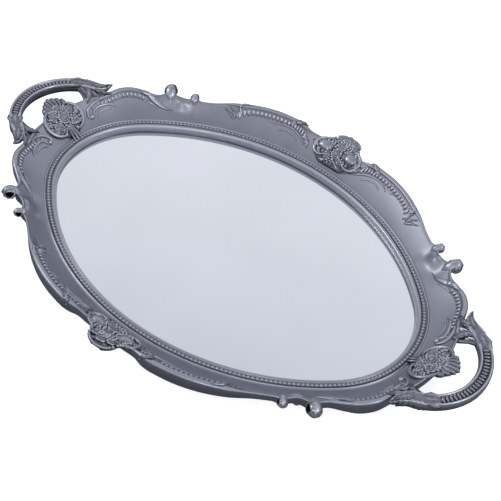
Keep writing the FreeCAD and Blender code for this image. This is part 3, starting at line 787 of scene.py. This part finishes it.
roots = [
    root_web(),
    # over the band before the rings: one leaf on its top and one on each flank
    laid_leaf([round_grip(1.04, 0.0, 3.7), round_grip(0.90, 0.2, 4.1), round_grip(0.77, 0.0, 4.0),
               round_grip(0.68, 0.0, 3.3)], 3.3, 1.0, 1.8),
    laid_leaf([round_grip(1.00, 2.6, 4.0), round_grip(0.90, 4.6, 4.0), round_grip(0.79, 5.2, 3.0),
               round_grip(0.72, 5.0, 1.6)], 2.4, 1.2, 1.8, 3),
    laid_leaf([round_grip(1.00, -2.6, 4.0), round_grip(0.90, -4.6, 4.0), round_grip(0.79, -5.1, 3.0),
               round_grip(0.72, -5.0, 1.6)], 2.4, 1.2, 1.8, 3),
    # from the rings on to the rim's edge: along the tail, outside it, inside it, and up the web
    laid_leaf([round_grip(1.12, 0.0, 4.3), round_grip(1.19, 0.6, 4.3), beside(0.56, 35.4, 36.0),
               beside(0.61, 34.4, 35.8), beside(0.655, 35.0, 36.2)], 3.4, 1.1, 1.6, 5),
    laid_leaf([round_grip(1.13, 4.6, 2.4), beside(0.52, 40.6, 33.0), beside(0.57, 37.6, 31.4),
               beside(0.63, 36.2, 31.0)], 2.6, 1.8, 3.0),
    laid_leaf([round_grip(1.13, -4.2, 3.6), beside(0.535, 31.0, 34.0), beside(0.59, 27.6, 32.6),
               beside(0.66, 26.4, 31.6)], 3.6, 2.0, 2.4),
    laid_leaf([round_grip(1.02, -4.2, 3.2), beside(0.43, 33.4, 33.4), beside(0.40, 28.4, 31.2),
               beside(0.355, 24.0, 28.4)], 3.4, 1.8, 2.0),
]
handle = joined([capped(band_points, band_shade, poles=grip_path[[0, -1]]), bars]
                + [mirrored(root, (1, sign)) for root in roots for sign in (1, -1)])
handle_pewter = pewter_finish("pewter_handle_patina_and_painted_shade", "#36373f", "#8a8c95", "#cccdd5", 0.29)
make_castings(handle, handle_pewter, {"handle_right": (1, 1), "handle_left": (-1, 1)})

# ---------------------------------------------------------------- Crests
# Castings screwed under the rim at the middle of each end and each side: a bed of berries with
# full roses, framed by leaves. An end crest rises to a fluted crown past the edge, a side crest
# to a lobe edged with pearls.

# A bed is how its points are placed, then (offset, height) and (offset, half-width) along it.


def end_place(across, offset, height):
    """Point of the right-hand crest: across is measured round the end, offset from the beads."""
    return round_centre(end_centre, end_radius + offset, across / (end_radius + crest_offset), height)


def side_place(across, offset, height):
    """Point of the back crest: across is measured along the side, offset from the beads. The
    whole crest sits a little to the right, and its tip a little more."""
    angle = -(across + 3.6 + 2.0 * smoothstep(22.0, 34.0, offset)) / (side_radius + crest_offset)
    reach = side_radius + offset
    points = (-reach * np.sin(angle), reach * np.cos(angle) - side_centre, height)
    return np.stack(np.broadcast_arrays(*points), -1)


def on_bed(bed, across, offset, lift):
    """Points on a bed, raised by lift from its height at their offset."""
    to_place, heights, _ = bed
    return to_place(across, offset, profile(heights, offset) + lift)


def bed_normal(bed, across, offset):
    """Upward normal of a bed, which leans back with the border."""
    to_place = bed[0]
    inner, outer = to_place(across, offset - 1.0, -0.55), to_place(across, offset + 1.0, 0.55)
    sideways = to_place(across + 1.0, offset, 0.0) - to_place(across - 1.0, offset, 0.0)
    normal = unit(np.cross(outer - inner, sideways))
    return normal * np.sign(normal[..., 2:3])


def slab(bed, first, last, ribs):
    """Bed of a crest: a domed sheet over the border, fluted along its edges, with a plain
    underside about three millimetres lower, closed all round."""
    to_place, heights, widths = bed
    d = np.linspace(first, last, 64)[:, None]
    h, w = profile(heights, d), profile(widths, d)
    u = np.linspace(-1, 1, 61)
    flutes = 0.35 * np.cos(ribs * np.pi * u + d * 0.5)
    blunt = 0.9 * (u ** 8 + ((d - first) / (last - first)) ** 24)
    top = h - 2.2 * u ** 2 - blunt + flutes * (1 - u ** 4)
    low = h - 3.6 - 0.6 * u ** 2 + 0.8 * blunt
    # the flutes are painted lighter on their ridges and darker in their grooves, as patina and painted shade
    return closed_grid(to_place(u * w, d, top), to_place(u * w * 0.93, d, low), 0.22 + 0.3 * flutes)


def rose(centre, normal, radius, rise, petals=5, rings=18, around=40):
    """Open rose in three storeys of petals. Each storey is a step down at its own lobed radius,
    the middle one turned by half a petal, and the heart is a small spiral bud."""
    side = unit(np.cross(normal, [0.0, 1.0, 0.02]))
    other = np.cross(normal, side)
    r, a = np.meshgrid(np.linspace(0.04, 1, rings), full_turn(around), indexing="ij")
    outer_lobes = 1 - 0.2 * (1 - np.abs(np.cos(petals * a / 2))) ** 1.5
    inner_lobes = 1 - 0.2 * (1 - np.abs(np.sin(petals * a / 2))) ** 1.5
    step_one = 1 - smoothstep(0.56, 0.72, r / inner_lobes)
    step_two = 1 - smoothstep(0.28, 0.42, r / outer_lobes)
    heart = 0.12 * np.cos(2 * np.pi * 5 * r - a) * (1 - smoothstep(0.2, 0.3, r))
    cupped = 0.22 * (r - 0.5) * np.abs(np.cos(petals * a / 2))
    fall = 0.35 * smoothstep(0.86, 1.0, r)
    height = rise * (0.36 + 0.3 * step_one + 0.3 * step_two + heart + cupped - fall)
    # painted shade in the creases where each storey steps down and between the petals, painted highlight on
    # the heart
    painted_crease_shade = np.exp(-((r / inner_lobes - 0.68) / 0.06) ** 2) + np.exp(-((r / outer_lobes - 0.4) / 0.05) ** 2)
    shade = np.clip(0.75 - 0.7 * painted_crease_shade + 0.8 * heart - 0.5 * (1 - outer_lobes), 0, 1)
    reach = radius * r * (1 + (outer_lobes - 1) * r ** 3)
    spread = reach[..., None] * (np.cos(a)[..., None] * side + np.sin(a)[..., None] * other)
    top = centre + spread + height[..., None] * normal
    under = centre + 0.9 * spread[-1:] - 1.2 * normal
    return capped(np.concatenate([top, under]), np.concatenate([shade, 0 * shade[:1]]), (0.6, 0.0),
                  [centre + height[0].mean() * normal, centre - 1.2 * normal])


def roses(bed, placed):
    """Roses at (across, offset, radius, rise) on a bed."""
    t, d, radii, rises = np.array(placed).T
    centres, normals = on_bed(bed, t, d, -0.004 * t * t), bed_normal(bed, t, d)
    return [rose(*one) for one in zip(centres, normals, radii, rises)]


def balls(centres, up, radius, rise, around, rings, shade):
    """Small balls set on a bed."""
    side = unit(np.cross(up, [0.3, 1.0, 0.1]))
    return ellipsoids(centres, side * radius, np.cross(up, side) * radius, up * rise, around, rings, shade)


def berries(bed, first, last, count, size):
    """Small round berries in a sunflower spread: the angle steps by the golden angle, and the
    distance grows with the square root of the number."""
    golden_angle = 2.39996
    n = np.arange(count) + 0.5
    reach = np.sqrt(n / count)
    d = (first + last) / 2 + (last - first) / 2 * reach * np.sin(n * golden_angle)
    u = 0.9 * reach * np.cos(n * golden_angle)
    t = u * profile(bed[2], d)
    radius = (size * (1 + 0.25 * np.sin(n * 5.1)))[:, None]
    return balls(on_bed(bed, t, d, 0.3 - 2.2 * u ** 2 - 1.6 * u ** 8), bed_normal(bed, t, d),
                 radius, radius * 0.95, 8, 4, 0.8)


def bed_path(bed, knots, count, lift):
    """Points and upward directions of a path through (across, offset, lift) knots on a bed."""
    t, d, knot_lift = smooth_path(knots, count).T
    return on_bed(bed, t, d, knot_lift + lift), bed_normal(bed, t, d)


def crest_leaf(bed, knots, half_width, rise, lobes=4):
    """Leaf laid on a crest."""
    return veined_leaf(*bed_path(bed, knots, 30, 0.2), half_width, rise, 1.0, lobes, 16, (0.0, 0.9))


def crest_ridge(bed, knots, half_width, rise):
    """Plain rib on a crest."""
    return rib(*bed_path(bed, knots, 40, 0.0), half_width, rise, 0.8, 0.3)


def both_hands(make, bed, knots, *sizes):
    """The same leaf or rib on both sides of a crest's middle."""
    return [make(bed, [(hand * t, d, lift) for t, d, lift in knots], *sizes) for hand in (1, -1)]


def crown(bed, first, last, narrow, wide, shoulder, flutes):
    """Fluted palmette that stands out past the rim to a blunt point. Its tip line falls back by
    shoulder |u|^1.35 from the middle, its top swells as |cos(pi n u / 2)|^0.6 into n rounded
    flutes with faint cross ribs near their ends, and the tips are scalloped to match."""
    to_place, heights, _ = bed
    v, u = np.meshgrid(np.linspace(0, 1, 60), np.linspace(-1, 1, 127), indexing="ij")
    arch = np.abs(np.cos(flutes * np.pi * u / 2)) ** 0.6
    tip_line = last - shoulder * np.abs(u) ** 1.35 - 1.9 * (1 - arch)
    d = first + (tip_line - first) * v
    t = u * (narrow + (wide - narrow) * smoothstep(0.0, 0.8, v))
    h = profile(heights, d)
    grain = 0.2 * np.cos(2 * np.pi * d / 2.1) * smoothstep(0.45, 0.7, v) * arch
    tip = 1.5 * smoothstep(0.84, 1.0, v) ** 2
    top = h - 0.9 + 1.6 * arch + grain - tip - 0.8 * u ** 4
    low = h - 3.8 + 0.9 * tip
    # painted shade in the grooves between the flutes, lighter on the flutes as highlight
    return closed_grid(to_place(t, d, top), to_place(t * 0.97, d, low), 0.05 + 0.55 * arch + grain)


end_bed = (
    end_place,
    [(4.0, 16.4), (10.0, 20.8), (16.0, 25.0), (22.0, 28.8), (28.0, 32.2), (33.0, 34.6), (38.0, 36.1),
     (43.6, 37.0)],
    [(4.0, 5.0), (8.0, 11.0), (12.0, 17.0), (18.0, 21.4), (24.0, 21.0), (28.0, 16.5), (31.0, 12.6),
     (35.0, 11.0), (42.5, 11.4)])
end_crest = [
    slab(end_bed, 6.5, 34.0, 9),
    berries(end_bed, 9.0, 32.0, 120, 1.2),
    *roses(end_bed, [
        (0.0, 20.0, 6.2, 3.2), (-9.4, 16.0, 4.6, 2.6), (9.4, 16.0, 4.6, 2.6), (-8.8, 25.0, 4.4, 2.4),
        (8.8, 25.0, 4.4, 2.4), (0.0, 29.0, 4.6, 2.3), (0.0, 11.4, 3.8, 2.3)]),
    *both_hands(crest_leaf, end_bed, [(12.0, 20.0, -0.6), (17.0, 22.0, -1.6), (20.6, 26.0, -2.2)], 3.2, 1.6),
    *both_hands(crest_leaf, end_bed, [(11.0, 13.5, -0.6), (16.0, 14.6, -1.8), (20.0, 18.0, -2.0)], 2.8, 1.5),
    *both_hands(crest_leaf, end_bed, [(5.0, 11.0, 0.2), (9.4, 8.6, -0.4), (13.6, 9.2, -1.2)], 2.2, 1.3, 3),
    *both_hands(crest_leaf, end_bed, [
        (2.0, 12.0, 0.6), (3.4, 7.0, 0.5), (4.0, 1.6, 0.6), (3.6, -2.8, 0.6)], 1.5, 1.2, 2),
    crown(end_bed, 27.0, 43.6, 8.4, 12.6, 8.6, 7),
    *both_hands(crest_ridge, end_bed, [
        (8.8, 32.0, -0.6), (14.6, 29.4, -1.2), (19.2, 25.0, -2.0), (20.4, 18.4, -2.2), (17.4, 12.6, -2.0),
        (11.0, 9.0, -1.2), (5.0, 8.0, -0.6)], 2.0, 1.9),
    crest_leaf(end_bed, [(0.0, 12.0, 0.9), (0.0, 6.0, 0.8), (0.0, -1.0, 0.8), (0.0, -3.4, 0.4)], 1.8, 1.3, 2),
]
crest_pewter = pewter_finish("pewter_crest_patina_and_painted_shade", "#2c2d35", "#8a8c97", "#d2d4db", 0.32)
make_castings(joined(end_crest), crest_pewter, {"crest_right": (1, 1), "crest_left": (-1, 1)})

side_bed = (
    side_place,
    [(5.0, 17.0), (10.0, 20.6), (16.0, 24.7), (22.0, 28.2), (27.0, 30.6), (32.0, 32.0), (37.0, 32.5),
     (43.5, 31.4)],
    [(5.0, 9.0), (10.0, 18.0), (15.0, 24.0), (20.0, 26.0), (24.0, 24.6), (27.0, 20.4), (30.0, 15.4),
     (33.0, 12.8), (36.0, 11.8), (39.0, 9.6), (41.0, 6.4), (42.5, 3.0)])


def egg(bed, across, offset, sizes):
    """Smooth oval boss on a crest: half-length along the rim, half-width across it, and rise."""
    t, d = np.array([across]), np.array([offset])
    up = bed_normal(bed, t, d)
    along = unit(bed[0](t + 1, d, 0.0) - bed[0](t - 1, d, 0.0))
    return ellipsoids(on_bed(bed, t, d, -0.5), along * sizes[0], np.cross(up, along) * sizes[1],
                      up * sizes[2], 20, 9, 0.6)


# the lobe's edge as (across, offset), its pearls spaced by their distance across
half_lobe = [(0.0, 41.9), (4.4, 41.2), (8.6, 39.2), (11.4, 35.8), (12.8, 32.4), (16.0, 29.4)]
lobe_knots = [(-t, d) for t, d in half_lobe[:0:-1]] + half_lobe
pearl_count, pearl_radius = 21, 1.45
pearls_t, pearls_d = smooth_path(lobe_knots, pearl_count, (90.0, 1.0)).T
pearl_up = bed_normal(side_bed, pearls_t, pearls_d)
side_crest = [
    slab(side_bed, 7.5, 41.8, 9),
    balls(on_bed(side_bed, pearls_t, pearls_d, -0.7), pearl_up, pearl_radius, pearl_radius, 10, 5, 0.7),
    berries(side_bed, 10.0, 36.0, 130, 1.2),
    *roses(side_bed, [
        (0.0, 35.4, 5.6, 2.6), (-7.6, 33.2, 4.0, 2.1), (7.6, 33.2, 4.0, 2.1), (0.0, 26.4, 4.8, 2.5),
        (0.0, 18.0, 5.6, 2.9), (-7.6, 14.0, 3.6, 2.1), (7.6, 14.0, 3.6, 2.1)]),
    *[egg(side_bed, hand * 14.6, 21.0, (7.0, 5.2, 3.0)) for hand in (1, -1)],
    *both_hands(crest_leaf, side_bed, [(2.4, 37.4, -0.2), (4.6, 38.8, -0.3), (8.6, 38.4, -0.8)], 1.9, 1.3, 3),
    *both_hands(crest_leaf, side_bed, [(6.0, 22.0, 0.0), (11.0, 25.6, -0.6), (17.0, 26.6, -1.4)], 2.8, 1.6),
    *both_hands(crest_leaf, side_bed, [(20.0, 20.0, -1.0), (24.4, 19.6, -1.8), (28.0, 22.0, -1.4)], 2.8, 1.5),
    *both_hands(crest_leaf, side_bed, [(5.0, 11.0, 0.0), (10.0, 9.0, -0.4), (15.0, 9.2, -0.8)], 2.2, 1.3, 3),
    *both_hands(crest_ridge, side_bed, [
        (11.0, 30.4, -0.6), (16.6, 28.8, -1.2), (22.0, 26.0, -1.8), (24.4, 20.4, -2.0), (22.2, 14.6, -1.8),
        (16.0, 12.2, -1.0), (11.0, 14.0, -0.2), (10.6, 17.2, 0.0)], 1.7, 1.9),
]
make_castings(joined(side_crest), crest_pewter, {"crest_back": (1, 1), "crest_front": (1, -1)})

# ---------------------------------------------------------------- Corner scrolls
# Four castings screwed under the edge between the lobes: a leaf that rises from the border and
# rolls over outward into a bud with a deep eye, and a smaller one of the same kind beside it.

# (distance along, radius) of a bud from its closed end round its mouth and down into its eye
bud_outline = [
    (-0.98, 0.16), (-0.88, 0.46), (-0.62, 0.78), (-0.25, 0.97), (0.15, 1.0), (0.5, 0.93), (0.76, 0.8),
    (0.86, 0.68), (0.82, 0.58), (0.66, 0.5), (0.4, 0.44), (0.1, 0.36), (-0.1, 0.14)]
mouth = 7


def bud(station, offset, height, sizes, tilt):
    """Rolled bud lying along the rim: a body of revolution with its closed end rounded and its
    other end drawn in to a deep eye. Its radius at angle a carries ten flutes, 1 + 0.05 cos(10 a),
    and the wall of the eye winds as a spiral. The eye faces the smaller curl, tilted up."""
    centre = beside(station, offset, height)
    along = unit(beside(station + 0.01, offset, height) - centre)
    out = unit(beside(station, offset + 1.0, height) - centre)
    axis = along * np.cos(tilt) + upward * np.sin(tilt)
    third = np.cross(axis, out)
    steps = np.linspace(0, len(bud_outline) - 1, 49)
    run, radius = smooth_curve(np.arange(len(bud_outline)), bud_outline, steps).T
    steps, a = steps[:, None], full_turn(50)
    outside = steps <= mouth
    flutes = np.where(outside, 1 + 0.05 * np.cos(10 * a) * np.sin(np.pi * np.clip(steps / mouth, 0, 1)), 1.0)
    wound = np.where(outside, 0.0, 0.22 * np.cos(a - 0.9 * (steps - mouth)))
    r = radius[:, None] * (flutes + wound)
    length, out_size, up_size = sizes
    points = (centre + length * run[:, None, None] * axis
              + (out_size * r * np.cos(a))[..., None] * out + (up_size * r * np.sin(a))[..., None] * third)
    # painted shade darkening down into the eye, and lighter on the flutes' ridges as highlight
    shade = np.where(outside, 0.55 + 6.0 * (flutes - 1), 0.55 * np.exp(-(steps - mouth) / 1.2))
    return capped(points, shade, (0.5, 0.0))


def tongue(station, foot, knots, half_width, thickness):
    """Smooth leaf that climbs out of the border at one station and laps over a bud. Its foot is
    given as offsets that lie in the border, the rest as (offset, height). Its width opens with
    the root of a smooth step and narrows again to a blunt tip."""
    foot = np.array(foot)
    foot_heights = place(station, foot)[:, 2] - 0.9
    offset, height = smooth_path([*zip(foot, foot_heights), *knots], 56).T
    centres = beside(station, offset, height)
    across = unit(beside(station + 0.01, offset, height) - centres)
    up = unit(np.cross(unit(np.gradient(centres, axis=0)), across))
    up = up * np.sign(up[:1, 2:3])
    u = np.linspace(0, 1, len(centres))
    side = np.cos(full_turn(24))
    width = half_width * np.sqrt(smoothstep(-0.02, 0.42, u)) * (1 - 0.3 * u)
    width = width * (1 - 0.7 * smoothstep(0.86, 1.0, u) ** 2)
    midrib = 1 + 0.25 * np.exp(-(side / 0.3) ** 2)
    return swept(centres, across, up, width, thickness * midrib * smoothstep(-0.1, 0.4, u)[:, None], 1.0,
                 side.size, (0.45, 0.7), 0.32 * width[:, None] * side ** 2)


# heights where the tongues cross the edge, a little sunk into it
over_scroll = float(edge_height(scroll_station)) - 0.6
over_curl = float(edge_height(curl_station)) - 0.6
scroll = [
    bud(scroll_station, 32.6, 28.6, (6.6, 6.4, 5.7), 0.6),
    tongue(scroll_station, [16.0, 20.5], [
        (25.4, over_scroll), (29.0, 33.2), (33.0, 34.1), (37.0, 32.4), (39.2, 28.8)], 5.6, 0.8),
    bud(curl_station, 27.6, 27.0, (4.4, 4.1, 3.7), 0.5),
    tongue(curl_station, [15.5, 19.0], [
        (22.8, over_curl), (25.6, 30.0), (28.6, 30.4), (31.4, 28.4)], 3.8, 0.7),
]
scroll_pewter = pewter_finish("pewter_scrolls_patina_and_painted_shade", "#202127", "#a4a6b1", "#dcdee4", 0.34)
make_castings(joined(scroll), scroll_pewter,
              {"scroll_" + corner: signs for corner, signs in corners.items()})

# ---------------------------------------------------------------- Mirror
# Silvered float glass, three millimetres thick, dropped in from below against the lip. It gives
# clear reflections with a faint cool cast.


def toned_finish(name, texture, size, texture_inputs, tones, roughness, metallic=0.0, bump=None):
    """Material with one pattern, its features size millimetres apart. The pattern runs the colour
    through its tones, moves the roughness where that is a pair, and lifts the surface where a
    bump gives a strength and a height in millimetres."""
    material, tree = new_material(name)
    place_node = add_node(tree, "ShaderNodeTexCoord")
    pattern = add_node(tree, texture, [
        ("Vector", place_node.outputs["Object"]), ("Scale", scale_for(size)), *texture_inputs])
    tone = add_node(tree, "ShaderNodeValToRGB", [("Fac", pattern.outputs[0])])
    colour_steps(tone, tones)
    if isinstance(roughness, tuple):
        polish = add_node(tree, "ShaderNodeMapRange", [
            ("Value", pattern.outputs[0]), ("To Min", roughness[0]), ("To Max", roughness[1])])
        roughness = polish.outputs["Result"]
    shader = add_node(tree, "ShaderNodeBsdfPrincipled", [
        ("Base Color", tone.outputs["Color"]), ("Metallic", metallic), ("Roughness", roughness)])
    if bump:
        relief_node = add_node(tree, "ShaderNodeBump", [
            ("Height", pattern.outputs[0]), ("Strength", bump[0]), ("Distance", bump[1] * MM)])
        tree.links.new(relief_node.outputs["Normal"], shader.inputs["Normal"])
    add_node(tree, "ShaderNodeOutputMaterial", [("Surface", shader.outputs["BSDF"])])
    return material


def paint(nodes, material):
    """Give CAD nodes one material all over."""
    for node in nodes:
        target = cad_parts[node]
        target.data.materials.clear()
        target.data.materials.append(material)


silvered_glass = toned_finish(
    "silvered_float_glass", "ShaderNodeTexNoise", 111.11, [("Detail", 3.0)],
    [(0.35, "#eef1f5"), (0.65, "#f4f6fa")], (0.02, 0.05), metallic=1.0)
paint(["mirror_plate"], silvered_glass)

# ---------------------------------------------------------------- Cushion
# Closed-cell foam sheet between the glass and the base plate. Cut flat, matt, light grey cells,
# which are really about half a millimetre wide and are drawn twice as wide.

foam = toned_finish(
    "closed_cell_foam", "ShaderNodeTexVoronoi", 1.1111, [], [(0.0, "#8f9090"), (0.6, "#b9baba")], 0.9,
    bump=(0.4, 0.5))
paint(["mirror_cushion"], foam)

# ---------------------------------------------------------------- Base plate
# Two-millimetre oil-tempered hardboard, its pressed smooth face down: dark brown wood fibres
# matted every way in soft patches, with a faint sheen. The fibres are drawn coarser than real,
# so that they show.

hardboard, tree = new_material("tempered_hardboard")
place_node = add_node(tree, "ShaderNodeTexCoord")
fibres = add_node(tree, "ShaderNodeTexNoise", [
    ("Vector", place_node.outputs["Object"]), ("Scale", scale_for(2.381)), ("Detail", 6.0),
    ("Distortion", 2.5)])
patches = add_node(tree, "ShaderNodeTexNoise", [
    ("Vector", place_node.outputs["Object"]), ("Scale", scale_for(45.455)), ("Detail", 3.0)])
mixed = add_node(tree, "ShaderNodeMath", [
    (0, patches.outputs["Fac"]), (1, 0.5), (2, fibres.outputs["Fac"])], operation="MULTIPLY_ADD")
tone = add_node(tree, "ShaderNodeValToRGB", [("Fac", mixed.outputs[0])])
colour_steps(tone, [(0.45, "#2f231b"), (0.75, "#4a372a"), (1.0, "#6a513d")])
bump = add_node(tree, "ShaderNodeBump", [
    ("Height", fibres.outputs["Fac"]), ("Strength", 0.25), ("Distance", 0.3 * MM)])
shader = add_node(tree, "ShaderNodeBsdfPrincipled", [
    ("Base Color", tone.outputs["Color"]), ("Roughness", 0.55), ("Normal", bump.outputs["Normal"])])
add_node(tree, "ShaderNodeOutputMaterial", [("Surface", shader.outputs["BSDF"])])
paint(["base_plate"], hardboard)

# ---------------------------------------------------------------- Screws
# Pan-head steel screws, turned and then zinc plated: a satin tone, mottled by fine turning marks
# that are drawn coarser than real so that they show.

zinc_steel = toned_finish(
    "zinc_plated_steel", "ShaderNodeTexNoise", 0.66667, [("Detail", 2.0)],
    [(0.3, "#a3a7ab"), (0.7, "#c6c9cc")], (0.25, 0.42), metallic=1.0)
paint([held + "_screws" for held in ("base", "handle", "crest", "scroll", "foot")], zinc_steel)

# ---------------------------------------------------------------- Feet
# Moulded black rubber buttons, one under each corner, matt, with a moulded grain drawn just
# coarse enough to show.

rubber = toned_finish(
    "moulded_rubber", "ShaderNodeTexNoise", 0.83333, [("Detail", 3.0)],
    [(0.3, "#1b1b1c"), (0.7, "#2a2a2b")], 0.7, bump=(0.3, 0.3))
paint(["foot_" + corner for corner in corners], rubber)

# ---------------------------------------------------------------- Studio
# A plain pale floor, clear when seen from below, a soft dome that is bright overhead and dim at
# the horizon, and three soft boxes.

floor_half = 30
floor_corners = [(x * floor_half, y * floor_half, 0) for x, y in ((-1, -1), (1, -1), (1, 1), (-1, 1))]
floor_mesh = bpy.data.meshes.new("floor")
floor_mesh.from_pydata(floor_corners, [], [(0, 1, 2, 3)])
floor = bpy.data.objects.new("floor", floor_mesh)
bpy.context.scene.collection.objects.link(floor)
paper, tree = new_material("white_paper_sweep")
shader = add_node(tree, "ShaderNodeBsdfPrincipled", [
    ("Base Color", linear("#f4f4f5")), ("Roughness", 0.9), ("Specular IOR Level", 0.0),
    ("Emission Color", linear("#ffffff")), ("Emission Strength", 0.75)])
side_seen = add_node(tree, "ShaderNodeNewGeometry")
clear = add_node(tree, "ShaderNodeBsdfTransparent")
one_sided = add_node(tree, "ShaderNodeMixShader", [
    ("Fac", side_seen.outputs["Backfacing"]), (1, shader.outputs["BSDF"]), (2, clear.outputs["BSDF"])])
add_node(tree, "ShaderNodeOutputMaterial", [("Surface", one_sided.outputs["Shader"])])
floor_mesh.materials.append(paper)
floor.visible_glossy = False

scene = bpy.context.scene
scene.view_settings.view_transform = "Standard"
world = bpy.data.worlds.new("studio")
world.use_nodes = True
scene.world = world
tree = world.node_tree
tree.nodes.clear()
sky = add_node(tree, "ShaderNodeTexCoord")
height_in_sky = add_node(tree, "ShaderNodeSeparateXYZ", [("Vector", sky.outputs["Generated"])])
dome = add_node(tree, "ShaderNodeValToRGB", [("Fac", height_in_sky.outputs["Z"])])
colour_steps(dome, [(0.0, "#686b76"), (0.1, "#5e616c"), (0.33, "#bcbfc9"), (0.56, "#ecedf3"),
                    (0.7, "#e2e4ea"), (0.9, "#babdc7"), (1.0, "#b2b5bf")])
backdrop = add_node(tree, "ShaderNodeBackground", [("Color", dome.outputs["Color"]), ("Strength", 1.0)])
add_node(tree, "ShaderNodeOutputWorld", [("Surface", backdrop.outputs["Background"])])

# from here on places are in metres
tray_middle = Vector((0.0, 0.0, 0.02))


def soft_box(name, position, size, watts):
    """White rectangular area light that faces the tray."""
    data = bpy.data.lights.new(name, "AREA")
    data.shape = "RECTANGLE"
    data.size, data.size_y = size
    data.energy = watts
    light = bpy.data.objects.new(name, data)
    light.location = position
    light.rotation_euler = (Vector(position) - tray_middle).to_track_quat("Z", "Y").to_euler()
    scene.collection.objects.link(light)


soft_box("left_box", (-2.0, -0.9, 1.5), (0.4, 0.8), 9)
soft_box("right_box", (2.2, 0.3, 1.8), (0.5, 0.7), 9)
soft_box("glint_box", (0.9, -1.5, 1.3), (0.22, 0.22), 3)

camera_place = Vector((0.35863, -0.55440, 0.67435))
camera_aim = Vector((0.01994, 0.00117, 0.0165))
camera_lean = np.radians(10.17)
camera_data = bpy.data.cameras.new("camera")
camera_data.lens = 77.77
camera_data.sensor_width = 36.0
camera = bpy.data.objects.new("camera", camera_data)
forward = (camera_aim - camera_place).normalized()
level_right = forward.cross(Vector((0, 0, 1))).normalized()
level_up = level_right.cross(forward)
lean_up = level_up * float(np.cos(camera_lean)) - level_right * float(np.sin(camera_lean))
camera_axes = Matrix((forward.cross(lean_up), lean_up, -forward)).transposed()
camera.matrix_world = Matrix.Translation(camera_place) @ camera_axes.to_4x4()
scene.collection.objects.link(camera)
scene.camera = camera

bpy.context.view_layer.update()
